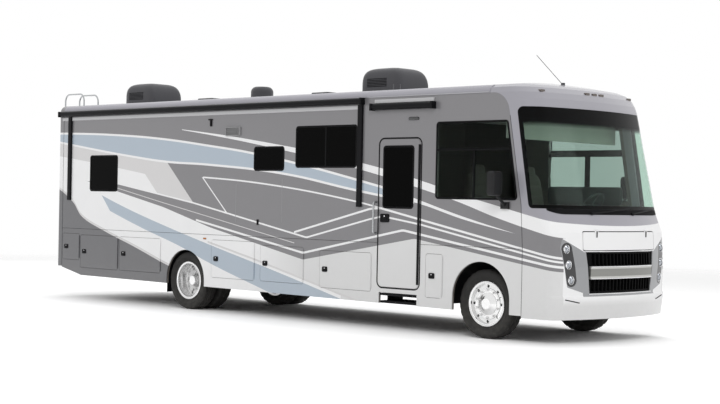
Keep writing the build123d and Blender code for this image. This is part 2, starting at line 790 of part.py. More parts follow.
def make_grille():
    """The slotted grille and the bar across it."""
    pitch = 2 * (GRILLE_BOTTOM_HALF - GRILLE_FRAME) / GRILLE_SLOTS
    lower_row = (GRILLE_BOTTOM + GRILLE_FRAME, BAR_LOW - BAR_MARGIN)
    upper_row = (BAR_HIGH + BAR_MARGIN, GRILLE_TOP - GRILLE_FRAME)
    slots = Sketch()
    for low, high in (lower_row, upper_row):
        for slot in range(GRILLE_SLOTS):
            y = (slot - (GRILLE_SLOTS - 1) / 2) * pitch
            slots += Pos(y, (low + high) / 2) * Rectangle(pitch - SLOT_BAR, high - low)
    grille = skin(grille_outline(SEAM), -GRILLE_SET, GRILLE_SET + GRILLE_DEPTH)
    save("grille", grille - front_prism(slots))
    bar = band(-GRILLE_BOTTOM_HALF, GRILLE_BOTTOM_HALF, BAR_LOW, BAR_HIGH)
    save("grille_bar", skin(bar, BAR_PROUD, GRILLE_SET - SEAM))


def make_headlamps():
    """Three round lamps a side, in their surrounds."""
    surround = skin(surround_outline(SEAM), 0, SURROUND_THICK)
    lamps = []
    for y, z in LAMP_PLACES:
        surround -= front_prism(Pos(y, z) * Circle(LAMP_RADIUS))
        face = ahead(nose_at(z)) - bow_drop(y - LAMP_RADIUS) - LAMP_SUNK
        lens = x_rod(LAMP_RADIUS - SEAM, y, z, face - LAMP_BODY, face)
        lamps.append(chamfer(lens.edges().sort_by(Axis.X)[-1:], LAMP_BEVEL))
    save("lamp_surrounds", surround, mirrored(surround))
    save("headlamps", *lamps, *[mirrored(lamp) for lamp in lamps])


# Roof, walls, skirts, rear cap and floor
def make_shell():
    """The hollow body behind the front moulding."""
    roof = along(roof_section(), ahead(REAR_JOINT) + SEAM, ahead(ROOF_FRONT) - SEAM)
    roof -= along(roof_section(WALL, DRIP - WALL), ahead(REAR_JOINT) - PAST, ahead(ROOF_FRONT) + PAST)
    save("roof", roof)

    wall_face = wall_zone(WALL_SEAM, REAR_JOINT + SEAM)
    cab = fillet(polygon([(ahead(station), z) for station, z in CAB_WINDOW]).vertices(), WINDOW_RADIUS)
    right = wall_face - cab - opening(DOOR_REAR, DOOR_FRONT, DOOR_LOW, DOOR_HIGH, DOOR_RADIUS, DOOR_GAP)
    for window in RIGHT_WINDOWS:
        right -= opening(*window, WINDOW_RADIUS)
    save("right_wall", across(right, -HALF_WIDTH, -HALF_WIDTH + WALL))
    left = wall_face - cab
    for window in LEFT_WINDOWS:
        left -= opening(*window, WINDOW_RADIUS)
    left -= opening(SLIDE_REAR, SLIDE_FRONT, SLIDE_LOW, SLIDE_HIGH, SLIDE_CORNER, SLIDE_CLEAR)
    save("left_wall", across(left, HALF_WIDTH - WALL, HALF_WIDTH))

    cab_pane = offset(cab, -SEAM)
    right_panes = [cab_pane] + [opening(*window, WINDOW_RADIUS, -SEAM) for window in RIGHT_WINDOWS]
    left_panes = [cab_pane] + [opening(*window, WINDOW_RADIUS, -SEAM) for window in LEFT_WINDOWS]
    glass = [across(pane, -HALF_WIDTH, -HALF_WIDTH + GLASS) for pane in right_panes]
    glass += [across(pane, HALF_WIDTH - GLASS, HALF_WIDTH) for pane in left_panes]
    save("side_windows", *glass)

    make_skirts()
    make_rear_cap()
    make_floor()


def arch_outline(station, half, top):
    """Side view of a wheel arch, open below."""
    x = ahead(station)
    spring_line = top - half
    return make_face(
        [
            Line((x - half, 0), (x - half, spring_line)),
            ThreePointArc((x - half, spring_line), (x, top), (x + half, spring_line)),
            Line((x + half, spring_line), (x + half, 0)),
            Line((x + half, 0), (x - half, 0)),
        ]
    )


def make_skirts():
    """The panels below the walls, with arches and locker openings."""
    edge = [(ahead(station), z) for station, z in SKIRT_EDGE]
    blank = polygon(edge + [(edge[-1][0], WALL_SEAM), (edge[0][0], WALL_SEAM)])
    for arch in (FRONT_ARCH, REAR_ARCH):
        blank -= arch_outline(*arch)
    right = blank - opening(DOOR_REAR, DOOR_FRONT, DOOR_LOW, DOOR_HIGH, DOOR_RADIUS, DOOR_GAP)
    middle = ahead((DOOR_REAR + DOOR_FRONT) / 2)
    mouth_half = STEP_LENGTH / 2 + MOUTH_MARGIN
    right -= band(middle - mouth_half, middle + mouth_half, 0, MOUTH_TOP)
    for name, *edges in RIGHT_LOCKERS:
        right -= opening(*edges, LOCKER_RADIUS, DOOR_GAP)
    save("right_skirt", across(right, -HALF_WIDTH, -HALF_WIDTH + WALL))
    left = blank
    for name, *edges in LEFT_LOCKERS:
        left -= opening(*edges, LOCKER_RADIUS, DOOR_GAP)
    save("left_skirt", across(left, HALF_WIDTH - WALL, HALF_WIDTH))


def make_rear_cap():
    """The rear moulding with its lamps."""
    face = ahead(REAR_FACE)
    outer = along(roof_section(low=REAR_LOW), face, ahead(REAR_JOINT))
    rear_edges = outer.faces().sort_by(Axis.X)[0].edges()
    outer = fillet([edge for edge in rear_edges if edge.center().Z > REAR_LOW + SEAM], REAR_EDGE_RADIUS)
    cap = outer - along(roof_section(WALL, REAR_LOW - PAST), face + WALL, ahead(REAR_JOINT) + PAST)
    lenses = []
    pairs = [lamp._replace(y=side * lamp.y) for lamp in TAIL_LAMPS for side in (-1, 1)]
    for y, z, width, height in pairs + [HIGH_STOP]:
        pocket = RectangleRounded(width, height, TAIL_CORNER)
        lens = RectangleRounded(width - 2 * SEAM, height - 2 * SEAM, TAIL_CORNER)
        cap -= along(Pos(y, z) * pocket, face - PAST, face + TAIL_SUNK)
        lenses.append(along(Pos(y, z) * lens, face - TAIL_PROUD, face + TAIL_SUNK - SEAM))
    save("rear_cap", cap)
    save("tail_lamps", *lenses)


def make_floor():
    """The floor slab, its cross beams and the sunk step well inside the entry door."""
    inner = HALF_WIDTH - WALL - SEAM
    rear, front = ahead(DOOR_REAR), ahead(DOOR_FRONT)
    outside = -inner - PAST
    above = FLOOR_TOP + PAST
    floor = slab(ahead(REAR_JOINT), ahead(FLOOR_FRONT), -inner, inner, FLOOR_BOTTOM, FLOOR_TOP)
    floor -= slab(rear, front, outside, -WELL_INNER_Y, FLOOR_BOTTOM - PAST, above)
    well = slab(rear + SEAM, front - SEAM, -inner, -WELL_INNER_Y - SEAM, DOOR_LOW - WELL_SHEET, FLOOR_TOP)
    well -= slab(rear + WELL_SHEET, front - WELL_SHEET, outside, -WELL_INNER_Y - WELL_SHEET, DOOR_LOW, above)
    beams = []
    for station in BEAM_STATIONS:
        x_low = ahead(station) - BEAM_WIDTH / 2
        x_high = x_low + BEAM_WIDTH
        beams.append(slab(x_low, x_high, -BEAM_HALF, BEAM_HALF, RAIL_TOP + SEAM, FLOOR_BOTTOM - SEAM))
    save("floor", floor, well, *beams)


# Doors
def hinge_leaf(x, y_face, outward, low, high):
    """A hinge barrel and its leaf on the outer face, along a door's front edge."""
    barrel = z_rod(HINGE_RADIUS, x, y_face + outward * (HINGE_RADIUS + HINGE_STANDOFF), low, high)
    leaf_y = sorted((y_face, y_face + outward * LEAF_THICK))
    return slab(x - LEAF_WIDTH, x, *leaf_y, low, high) + barrel


def latch(x, z, y_face, outward, size, proud):
    """A round-cornered pull latch standing on a door."""
    pad = Pos(x, z) * RectangleRounded(size, size * LATCH_ASPECT, size * LATCH_CORNER)
    return across(pad, *sorted((y_face, y_face + outward * proud)))


def make_entry_door():
    """The entry door with its glass."""
    outline = opening(DOOR_REAR, DOOR_FRONT, DOOR_LOW, DOOR_HIGH, DOOR_RADIUS)
    door = across(outline - opening(*DOOR_WINDOW, WINDOW_RADIUS), -HALF_WIDTH, -HALF_WIDTH + WALL)
    hinge_x = ahead(DOOR_FRONT) + DOOR_GAP / 2
    door += hinge_leaf(hinge_x, -HALF_WIDTH, -1, DOOR_LOW + DOOR_HINGE_LIFT, DOOR_HIGH - DOOR_RADIUS)
    latch_x = ahead(DOOR_REAR) + DOOR_LATCH_INSET
    door += latch(latch_x, DOOR_LATCH_Z, -HALF_WIDTH, -1, DOOR_LATCH_SIZE, DOOR_LATCH_PROUD)
    save("entry_door", door)
    pane = opening(*DOOR_WINDOW, WINDOW_RADIUS, -SEAM)
    save("entry_door_glass", across(pane, -HALF_WIDTH, -HALF_WIDTH + GLASS))


def make_lockers():
    """Locker doors on both sides and the boxes behind the larger ones."""
    boxes = []
    for outward, table in ((-1, RIGHT_LOCKERS), (1, LEFT_LOCKERS)):
        y_face = outward * HALF_WIDTH
        y_back = y_face - outward * LOCKER_THICK
        for name, rear, front, low, high in table:
            panel = across(opening(rear, front, low, high, LOCKER_RADIUS), *sorted((y_face, y_back)))
            hinge_x = ahead(front) + DOOR_GAP / 2
            panel += hinge_leaf(hinge_x, y_face, outward, low + LOCKER_RADIUS, high - LOCKER_RADIUS)
            latch_x = ahead(rear) + LATCH_INSET
            panel += latch(latch_x, (low + high) / 2, y_face, outward, LATCH_SIZE, LATCH_PROUD)
            save(f"{name}_door", panel)
            if name not in LOCKERS_WITHOUT_BOX:
                boxes.append(locker_box(rear, front, outward))
    save("locker_boxes", *boxes)


def locker_box(rear, front, outward):
    """A tray-sided box under the floor, open towards its door."""
    mouth = HALF_WIDTH - WALL - SEAM
    outer_y = sorted((outward * BOX_INNER_Y, outward * mouth))
    inner_y = sorted((outward * (BOX_INNER_Y + BOX_WALL), outward * (mouth + PAST)))
    x_low = ahead(rear) - BOX_MARGIN
    x_high = ahead(front) + BOX_MARGIN
    top = FLOOR_BOTTOM - SEAM
    outer = slab(x_low, x_high, *outer_y, BOX_FLOOR, top)
    return outer - slab(x_low + BOX_WALL, x_high - BOX_WALL, *inner_y, BOX_FLOOR + BOX_WALL, top - BOX_WALL)


def make_slide_out():
    """The left slide-out room, open towards the cabin, with its outer flange and windows."""
    y_out = HALF_WIDTH + SLIDE_FLANGE_THICK
    y_in = HALF_WIDTH - SLIDE_DEPTH
    box = (SLIDE_REAR, SLIDE_FRONT, SLIDE_LOW, SLIDE_HIGH)
    room = across(opening(*box, SLIDE_CORNER), y_in, y_out)
    hollow = opening(*box, SLIDE_CORNER + SLIDE_WALL, -SLIDE_WALL)
    room -= across(hollow, y_in - PAST, y_out - SLIDE_WALL)
    room += across(opening(*box, 0, SLIDE_FLANGE), HALF_WIDTH + SEAM, y_out)
    panes = []
    for window in SLIDE_WINDOWS:
        room -= across(opening(*window, WINDOW_RADIUS), HALF_WIDTH - 2 * PAST, y_out + PAST)
        panes.append(across(opening(*window, WINDOW_RADIUS, -SEAM), y_out - GLASS, y_out))
    save("slide_out_room", room)
    save("slide_out_windows", *panes)


# Wheels and tyres
def turned(profile, station):
    """A profile of width and radius turned about an axle line."""
    plane = Plane(origin=(ahead(station), 0, TYRE_RADIUS), x_dir=(0, 1, 0), z_dir=(-1, 0, 0))
    axis = Axis((ahead(station), 0, TYRE_RADIUS), (0, 1, 0))
    return revolve(plane * profile, axis)


def tyre_profile(middle_y):
    """Section of a tyre with bulging walls and bevelled shoulders, in the plane of width and radius."""
    half = TYRE_WIDTH / 2
    bead_y = middle_y - RIM_WIDTH / 2 + BEAD_INSET
    shoulder_y = middle_y - half + SHOULDER_INSET
    tread_y = middle_y - half + TREAD_INSET
    bulge = (middle_y - half, (RIM_RADIUS + TYRE_RADIUS) / 2)
    foot = (bead_y, RIM_RADIUS + SEAM)
    bead = (bead_y, FLANGE_RADIUS + BEAD_RISE)
    shoulder = (shoulder_y, TYRE_RADIUS - SHOULDER_DROP)
    tread = (tread_y, TYRE_RADIUS)
    half_edges = [
        Line((middle_y, RIM_RADIUS + SEAM), foot),
        Line(foot, bead),
        ThreePointArc(bead, bulge, shoulder),
        Line(shoulder, tread),
        Line(tread, (middle_y, TYRE_RADIUS)),
        Line((middle_y, TYRE_RADIUS), (middle_y, RIM_RADIUS + SEAM)),
    ]
    half_face = make_face(half_edges)
    return half_face + mirror(half_face, about=Plane(origin=(middle_y, 0, 0), z_dir=(1, 0, 0)))


def rim_barrel(middle_y):
    """Section of a rim with two flanges, in the plane of width and radius."""
    low = middle_y - RIM_WIDTH / 2
    high = middle_y + RIM_WIDTH / 2
    barrel = band(low, high, RIM_RADIUS - RIM_SHEET, RIM_RADIUS)
    barrel += band(low, low + RIM_LIP, RIM_RADIUS, FLANGE_RADIUS)
    return barrel + band(high - RIM_LIP, high, RIM_RADIUS, FLANGE_RADIUS)


def hand_holes(station, y_low, y_high):
    """The ring of round hand holes in a wheel disc."""
    holes = []
    for hole in range(HAND_HOLES):
        angle = radians(360 / HAND_HOLES * hole)
        x = ahead(station) + HAND_HOLE_CIRCLE * cos(angle)
        z = TYRE_RADIUS + HAND_HOLE_CIRCLE * sin(angle)
        holes.append(y_rod(HAND_HOLE_RADIUS, x, z, y_low, y_high))
    return holes


def make_front_wheels():
    """Outset front wheels, each with a hub on its spindle."""
    bore = SPINDLE_RADIUS + BEARING_GAP
    hub_in = KINGPIN_Y + EYE_RADIUS + YOKE_GAP + YOKE_WEB + DOOR_GAP
    face = FRONT_DISC_Y
    back = face - DISC
    dish = face - FRONT_DISH
    disc = polygon(
        [
            (dish, DISC_RADIUS),
            (dish, DISC_FOOT),
            (back, HUB_RADIUS),
            (back, bore),
            (face, bore),
            (face, HUB_RADIUS + RIM_LIP),
            (face - DISC_DISH, DISC_RADIUS),
        ]
    )
    hub = polygon(
        [
            (hub_in, bore),
            (hub_in, HUB_SLEEVE),
            (back, HUB_SLEEVE),
            (back, HUB_RADIUS),
            (face + HUB_STEP, HUB_RADIUS),
            (face + HUB_SHOULDER, HUB_DOME_RADIUS),
            (FRONT_HUB_OUT, HUB_END_RADIUS),
            (FRONT_HUB_OUT, 0),
            (FRONT_HUB_OUT - HUB_CAP, 0),
            (FRONT_HUB_OUT - HUB_CAP, bore),
        ]
    )
    wheel = turned(rim_barrel(FRONT_WHEEL_Y) + disc + hub, 0)
    wheel -= hand_holes(0, dish - PAST, face + PAST)
    tyre = turned(tyre_profile(FRONT_WHEEL_Y), 0)
    save("front_left_wheel", wheel)
    save("front_left_tyre", tyre)
    save("front_right_wheel", mirrored(wheel))
    save("front_right_tyre", mirrored(tyre))


def make_rear_wheels():
    """Twin rear wheels, the outer one dished inward."""
    bore = SPINDLE_RADIUS + BEARING_GAP
    face = REAR_DISC_Y
    disc = band(face - DISC, face + DISC, bore, DISC_RADIUS)
    link_low = DUAL_INNER_Y + RIM_WIDTH / 2 - LINK_LAP
    link_high = DUAL_OUTER_Y - RIM_WIDTH / 2 + LINK_LAP
    link = band(link_low, link_high, LINK_INNER, LINK_OUTER)
    hub_back = face - REAR_HUB_BACK
    neck = face + REAR_HUB_NECK
    hub = polygon(
        [
            (hub_back, bore),
            (hub_back, HUB_DOME_RADIUS),
            (face, HUB_RADIUS),
            (neck, HUB_RADIUS - DISC_DISH),
            (neck + HUB_CAP, HUB_DOME_RADIUS),
            (REAR_HUB_OUT, HUB_END_RADIUS),
            (REAR_HUB_OUT, 0),
            (REAR_HUB_OUT - HUB_CAP, 0),
            (REAR_HUB_OUT - HUB_CAP, bore),
        ]
    )
    wheel = turned(rim_barrel(DUAL_OUTER_Y) + rim_barrel(DUAL_INNER_Y) + disc + link + hub, REAR_AXLE)
    wheel -= hand_holes(REAR_AXLE, face - PAST, face + PAST)
    tyres = [turned(tyre_profile(y), REAR_AXLE) for y in (DUAL_OUTER_Y, DUAL_INNER_Y)]
    save("rear_left_wheel", wheel)
    save("rear_left_tyres", *tyres)
    save("rear_right_wheel", mirrored(wheel))
    save("rear_right_tyres", *[mirrored(tyre) for tyre in tyres])


# Axles, springs, frame and engine
def make_axles():
    """Dropped front beam with kingpin eyes, knuckles with spindles, and the rear axle."""
    x = ahead(0)
    beam_end = KINGPIN_Y - EYE_RADIUS - YOKE_SWING
    half_beam = polygon(
        [
            (0, BEAM_LOW),
            (BEAM_KINK, BEAM_LOW),
            (beam_end, EYE_LOW + EYE_LEDGE),
            (KINGPIN_Y, EYE_LOW + EYE_LEDGE),
            (KINGPIN_Y, EYE_HIGH - EYE_LEDGE),
            (beam_end, EYE_HIGH - EYE_LEDGE),
            (BEAM_KINK, BEAM_LOW + BEAM_DEPTH),
            (0, BEAM_LOW + BEAM_DEPTH),
        ]
    )
    axle = along(half_beam + mirror(half_beam, about=Plane.YZ), x - BEAM_THICK / 2, x + BEAM_THICK / 2)
    for side in (-1, 1):
        seat_y = side * SPRING_Y - SEAT_WIDTH / 2
        axle += z_rod(EYE_RADIUS, x, side * KINGPIN_Y, EYE_LOW, EYE_HIGH)
        axle += slab(
            x - FRONT_SEAT_HALF, x + FRONT_SEAT_HALF, seat_y, seat_y + SEAT_WIDTH, FRONT_SEAT_LOW, FRONT_SEAT
        )
        axle -= z_rod(KINGPIN_RADIUS + BEARING_GAP, x, side * KINGPIN_Y, EYE_LOW - PAST, EYE_HIGH + PAST)
    save("front_axle", axle)

    plate_in = KINGPIN_Y - EYE_RADIUS
    web_in = KINGPIN_Y + EYE_RADIUS + YOKE_GAP
    web_out = web_in + YOKE_WEB
    low = EYE_LOW - YOKE_PLATE
    high = EYE_HIGH + YOKE_PLATE
    rear, front = x - YOKE_HALF, x + YOKE_HALF
    knuckle = slab(rear, front, plate_in, web_out, EYE_HIGH + SEAM, high)
    knuckle += slab(rear, front, plate_in, web_out, low, EYE_LOW - SEAM)
    knuckle += slab(rear, front, web_in, web_out, low, high)
    knuckle += z_rod(KINGPIN_RADIUS, x, KINGPIN_Y, low, high)
    knuckle += y_rod(SPINDLE_RADIUS, x, TYRE_RADIUS, web_in, FRONT_HUB_OUT - HUB_CAP - SEAM)
    knuckle += slab(x - STEER_ARM_END, x, KINGPIN_Y, KINGPIN_Y + STEER_ARM_WIDTH, low, EYE_LOW - SEAM)
    save("left_knuckle", knuckle)
    save("right_knuckle", mirrored(knuckle))

    x = ahead(REAR_AXLE)
    spindle_end = REAR_HUB_OUT - HUB_CAP - SEAM
    rear_axle = y_rod(AXLE_TUBE_RADIUS, x, TYRE_RADIUS, -REAR_TUBE_END, REAR_TUBE_END)
    rear_axle += y_rod(SPINDLE_RADIUS, x, TYRE_RADIUS, -spindle_end, spindle_end)
    rear_axle += Pos(x, 0, TYRE_RADIUS) * Sphere(DIFF_RADIUS)
    rear_axle += x_rod(PINION_RADIUS, 0, TYRE_RADIUS, x, x + DIFF_RADIUS + PINION_NOSE)
    for side in (-1, 1):
        seat_y = side * SPRING_Y - SEAT_WIDTH / 2
        rear_axle += slab(
            x - REAR_SEAT_HALF, x + REAR_SEAT_HALF, seat_y, seat_y + SEAT_WIDTH, TYRE_RADIUS, REAR_SEAT
        )
    save("rear_axle", rear_axle)


def make_springs():
    """Four leaf springs with their hangers under the rails."""
    springs = []
    for station, seat in ((0, FRONT_SEAT), (REAR_AXLE, REAR_SEAT)):
        x = ahead(station)
        low = seat + SEAM
        rear, front = x - SPRING_HALF, x + SPRING_HALF
        upper_tip = SPRING_TIP + SPRING_TIP_THICK
        leaf = make_face(
            [
                ThreePointArc((rear, SPRING_TIP), (x, low), (front, SPRING_TIP)),
                Line((front, SPRING_TIP), (front, upper_tip)),
                ThreePointArc((front, upper_tip), (x, low + SPRING_THICK), (rear, upper_tip)),
                Line((rear, upper_tip), (rear, SPRING_TIP)),
            ]
        )
        leaf += band(rear, rear + HANGER, SPRING_TIP, RAIL_BOTTOM - SEAM)
        leaf += band(front - HANGER, front, SPRING_TIP, RAIL_BOTTOM - SEAM)
        for side in (-1, 1):
            low_y = side * SPRING_Y - SPRING_WIDTH / 2
            springs.append(across(leaf, low_y, low_y + SPRING_WIDTH))
    save("leaf_springs", *springs)


def make_chassis():
    """Ladder frame of two channels and cross tubes."""
    rail_inner = RAIL_OUTER_Y - RAIL_FLANGE
    channel = band(rail_inner, RAIL_OUTER_Y, RAIL_BOTTOM, RAIL_TOP)
    hollow_outer = RAIL_OUTER_Y - RAIL_SHEET
    channel -= band(rail_inner - PAST, hollow_outer, RAIL_BOTTOM + RAIL_SHEET, RAIL_TOP - RAIL_SHEET)
    rail = along(channel, ahead(RAIL_REAR), ahead(RAIL_FRONT))
    frame = rail + mirrored(rail)
    web = RAIL_OUTER_Y - RAIL_SHEET / 2
    for station in CROSS_STATIONS:
        frame += y_rod(CROSS_TUBE_RADIUS, ahead(station), CROSS_TUBE_Z, -web, web)
    save("chassis_frame", frame)


def make_engine():
    """One plain engine block with gearbox and drive shaft, the exhaust and the tanks."""
    rear, front = ahead(ENGINE_REAR), ahead(ENGINE_FRONT)
    block = slab(rear, front, -ENGINE_HALF, ENGINE_HALF, ENGINE_LOW, FLOOR_BOTTOM - SEAM)
    block += slab(ahead(MOUNT_REAR), ahead(MOUNT_FRONT), -BETWEEN_RAILS, BETWEEN_RAILS, MOUNT_LOW, MOUNT_HIGH)
    block += x_rod(GEARBOX_RADIUS, 0, GEARBOX_Z, ahead(GEARBOX_REAR), rear + GEARBOX_LAP)
    shaft_front = (ahead(GEARBOX_REAR) + SHAFT_RADIUS, 0, GEARBOX_Z)
    shaft_rear = (ahead(REAR_AXLE) + DIFF_RADIUS + PINION_NOSE + SHAFT_GAP, 0, TYRE_RADIUS)
    block += bar_between(SHAFT_RADIUS, shaft_front, shaft_rear)
    pipe_y = RAIL_OUTER_Y + SEAM + MUFFLER_RADIUS
    exhaust = x_rod(MUFFLER_RADIUS, pipe_y, EXHAUST_Z, ahead(MUFFLER_REAR), ahead(MUFFLER_FRONT))
    exhaust += x_rod(PIPE_RADIUS, pipe_y, EXHAUST_Z, ahead(PIPE_REAR), ahead(PIPE_FRONT))
    save("engine", block, exhaust)

    tanks = []
    for rear, front, low, high in TANKS:
        tank = slab(ahead(rear), ahead(front), -BETWEEN_RAILS, BETWEEN_RAILS, low, high)
        tanks.append(fillet(tank.edges().filter_by(Axis.X), TANK_ROUND))
    save("tanks", *tanks)


def make_liners():
    """Black arch liners, the rear ones ending in mud flaps."""
    inner_wall = HALF_WIDTH - WALL - SEAM
    pieces = []
    for station, radius, inner, rear_low, front_low in LINERS:
        x = ahead(station)
        outer = radius + LINER_SKIN
        sheet = Pos(x, TYRE_RADIUS) * (Circle(outer) - Circle(radius))
        sheet &= band(x - outer - PAST, x + outer + PAST, TYRE_RADIUS, TYRE_RADIUS + outer + PAST)
        sheet += band(x - outer, x - radius, rear_low, TYRE_RADIUS)
        sheet += band(x + radius, x + outer, front_low, TYRE_RADIUS)
        liner = across(sheet, inner, inner_wall)
        pieces += [liner, mirrored(liner)]
    save("wheel_liners", *pieces)


def make_hitch():
    """Square receiver tube on a cross bar hung from the rails, with its pin hole."""
    half = RECEIVER_BORE / 2 + RECEIVER_WALL
    bore = RECEIVER_BORE / 2
    low, high = RECEIVER_Z - half, RECEIVER_Z + half
    mouth = ahead(RECEIVER_MOUTH)
    bar_x = mouth + RECEIVER_LENGTH
    hitch = slab(mouth, bar_x, -half, half, low, high)
    hitch += slab(bar_x - HITCH_BAR_HALF, bar_x + HITCH_BAR_HALF, -RAIL_OUTER_Y, RAIL_OUTER_Y, low, high)
    for side in (-1, 1):
        plate_y = sorted((side * RAIL_OUTER_Y, side * (RAIL_OUTER_Y - HITCH_PLATE)))
        hitch += slab(bar_x - HITCH_PLATE_HALF, bar_x + HITCH_PLATE_HALF, *plate_y, low, RAIL_BOTTOM - SEAM)
    hitch -= slab(mouth - PAST, bar_x - RECEIVER_BACK, -bore, bore, RECEIVER_Z - bore, RECEIVER_Z + bore)
    hitch -= y_rod(PIN_RADIUS, mouth + PIN_FROM_MOUTH, RECEIVER_Z, -half - PAST, half + PAST)
    save("hitch_receiver", hitch)


# Roof equipment, ladder and awnings
def cooler(station):
    """An air conditioner's round-edged cover, its nose leaning back."""
    rear = ahead(station) - COOLER_LENGTH / 2
    front = rear + COOLER_LENGTH
    low = ROOF_TOP - SUNK_FOOT
    top = ROOF_TOP + COOLER_RISE
    nose = (front - COOLER_NOSE_LEAN, top)
    tail = (rear + COOLER_SIDE_LEAN, top)
    profile = rounded(polygon([(rear, low), (front, low), nose, tail]), [nose, tail], COOLER_TOP_ROUND)
    cover = across(profile, -COOLER_HALF, COOLER_HALF)
    sides = cover.faces().sort_by(Axis.Y)
    rims = [edge for face in (sides[0], sides[-1]) for edge in face.edges() if edge.center().Z > ROOF_TOP]
    return fillet(rims, COOLER_RIM_ROUND) - ROOF_OUTER


def make_roof_equipment():
    """Coolers, dome, hatches, vent caps and whip aerial, each seated on the crowned roof."""
    save("air_conditioners", *[cooler(station) for station in COOLER_STATIONS])

    low = ROOF_TOP - SUNK_FOOT
    dome = z_rod(DOME_RADIUS, ahead(DOME_STATION), 0, low, ROOF_TOP + DOME_RISE)
    fittings = [fillet(dome.edges().sort_by(Axis.Z)[-1:], DOME_ROUND)]
    for station, y in HATCHES:
        x = ahead(station)
        top = crown_height(y) + HATCH_RISE
        hatch = slab(x - HATCH_HALF, x + HATCH_HALF, y - HATCH_HALF, y + HATCH_HALF, low, top)
        fittings.append(fillet(hatch.edges().filter_by(Axis.Z), HATCH_CORNER))
    for station, y in VENT_CAPS:
        fittings.append(z_rod(VENT_RADIUS, ahead(station), y, low, crown_height(y) + VENT_RISE))
    seated = [piece - ROOF_OUTER for piece in fittings]
    x = ahead(WHIP_STATION)
    whip = z_rod(WHIP_BASE, x, 0, low, ROOF_TOP + WHIP_BASE)
    whip += bar_between(WHIP_RADIUS, (x, 0, ROOF_TOP), (ahead(WHIP_TIP_STATION), 0, ROOF_TOP + WHIP_RISE))
    save("roof_fittings", *seated, whip - CAP_CROWN - CAP_OUTER)


def make_ladder():
    """Rear ladder over the roof edge and the grab rail by the entry door."""
    rear = ahead(LADDER_REAR)
    front = ahead(LADDER_FRONT)
    pieces = []
    for y in LADDER_Y:
        foot = (front, y, crown_height(y) + SEAM)
        points = [(rear, y, LADDER_LOW), (rear, y, LADDER_TOP), (front, y, LADDER_TOP), foot]
        pieces.append(tube_along(LADDER_TUBE, FilletPolyline(*points, radius=LADDER_BEND)))
        for z in LADDER_STAYS:
            pieces.append(x_rod(STAY_TUBE, y, z, rear, ahead(REAR_FACE) - SEAM))
    for rung in range(int((RUNG_LAST - RUNG_FIRST) / RUNG_STEP) + 1):
        pieces.append(y_rod(RUNG_TUBE, rear, RUNG_FIRST + rung * RUNG_STEP, *LADDER_Y))
    ladder = pieces[0]
    for piece in pieces[1:]:
        ladder += piece
    x = ahead(GRAB_STATION)
    y_foot = -HALF_WIDTH - SEAM
    y_bar = y_foot - GRAB_OFF
    points = [(x, y_foot, GRAB_LOW), (x, y_bar, GRAB_LOW), (x, y_bar, GRAB_HIGH), (x, y_foot, GRAB_HIGH)]
    grab_rail = tube_along(GRAB_TUBE, FilletPolyline(*points, radius=GRAB_BEND))
    save("ladder", ladder - ROOF_OUTER, grab_rail)


def make_awnings():
    """Two rolled awnings and the folded arms of the long one."""
    y_wall = -HALF_WIDTH - SEAM
    pieces = []
    for rear, front, radius, z in (LONG_ROLL, DOOR_ROLL):
        y = y_wall - radius
        roll = x_rod(radius, y, z, ahead(rear), ahead(front))
        for x_low in (ahead(rear), ahead(front) - ROLL_CAP):
            roll += slab(
                x_low, x_low + ROLL_CAP, y - radius - ROLL_CAP_RIM, y_wall,
                z - radius - ROLL_CAP_FOOT, z + radius + ROLL_CAP_RIM,
            )
        pieces.append(roll)
    top = LONG_ROLL.z - LONG_ROLL.radius - ROLL_CAP_FOOT - SEAM
    for station in AWNING_ARMS:
        x_low = ahead(station) - ARM_WIDTH / 2
        arm = slab(x_low, x_low + ARM_WIDTH, y_wall - ARM_DEPTH, y_wall, ARM_LOW, top)
        pieces.append(fillet(arm.edges().filter_by(Axis.Z).sort_by(Axis.Y)[:2], ARM_ROUND))
    save("awnings", *pieces)


# Mirrors, wipers and clearance lamps
def make_mirrors():
    """Mirror heads on short arms."""
    y_wall = -HALF_WIDTH - SEAM
    x = ahead(MIRROR_STATION)
    y_head = y_wall - MIRROR_REACH + MIRROR_WIDTH / 2
    height = MIRROR_HEAD_HIGH - MIRROR_HEAD_LOW
    middle = (MIRROR_HEAD_HIGH + MIRROR_HEAD_LOW) / 2
    outline = Pos(y_head, middle) * RectangleRounded(MIRROR_WIDTH, height, MIRROR_CORNER)
    head = along(outline, x, x + MIRROR_DEPTH)
    head = fillet(head.faces().sort_by(Axis.X)[-1].edges(), MIRROR_ROUND)
    x_base = ahead(MIRROR_BASE_STATION)
    base = slab(
        x_base - MIRROR_BASE_HALF, x_base + MIRROR_BASE_HALF, y_wall - MIRROR_BASE_THICK, y_wall,
        MIRROR_BASE_Z - MIRROR_BASE_RISE, MIRROR_BASE_Z + MIRROR_BASE_RISE,
    )
    arm_foot = (x_base, y_wall - MIRROR_ARM, MIRROR_BASE_Z)
    arm = bar_between(MIRROR_ARM, arm_foot, (x + MIRROR_DEPTH / 2, y_head, MIRROR_HEAD_LOW + MIRROR_CORNER))
    unit = base + arm + head
    save("mirrors", unit, mirrored(unit))


def wiper_point(y, z):
    """A point a little ahead of the windscreen's foot."""
    return Vector(ahead(nose_at(z)) - bow_drop(y) + WIPER_OFF, y, z)


def make_wipers():
    """Two parked wiper arms on their bosses."""
    wipers = []
    for foot_y, tip_y in WIPERS:
        middle = ((foot_y + tip_y) / 2, (WIPER_Z + WIPER_TIP_Z) / 2)
        points = [wiper_point(*place) for place in ((foot_y, WIPER_Z), middle, (tip_y, WIPER_TIP_Z))]
        arm = tube_along(WIPER_RADIUS, ThreePointArc(*points))
        boss = x_rod(WIPER_BOSS, foot_y, WIPER_Z, points[0].X - WIPER_BOSS_LENGTH, points[0].X)
        wipers.append(arm + (boss - front_envelope(-SEAM, 0)))
    save("wipers", *wipers)


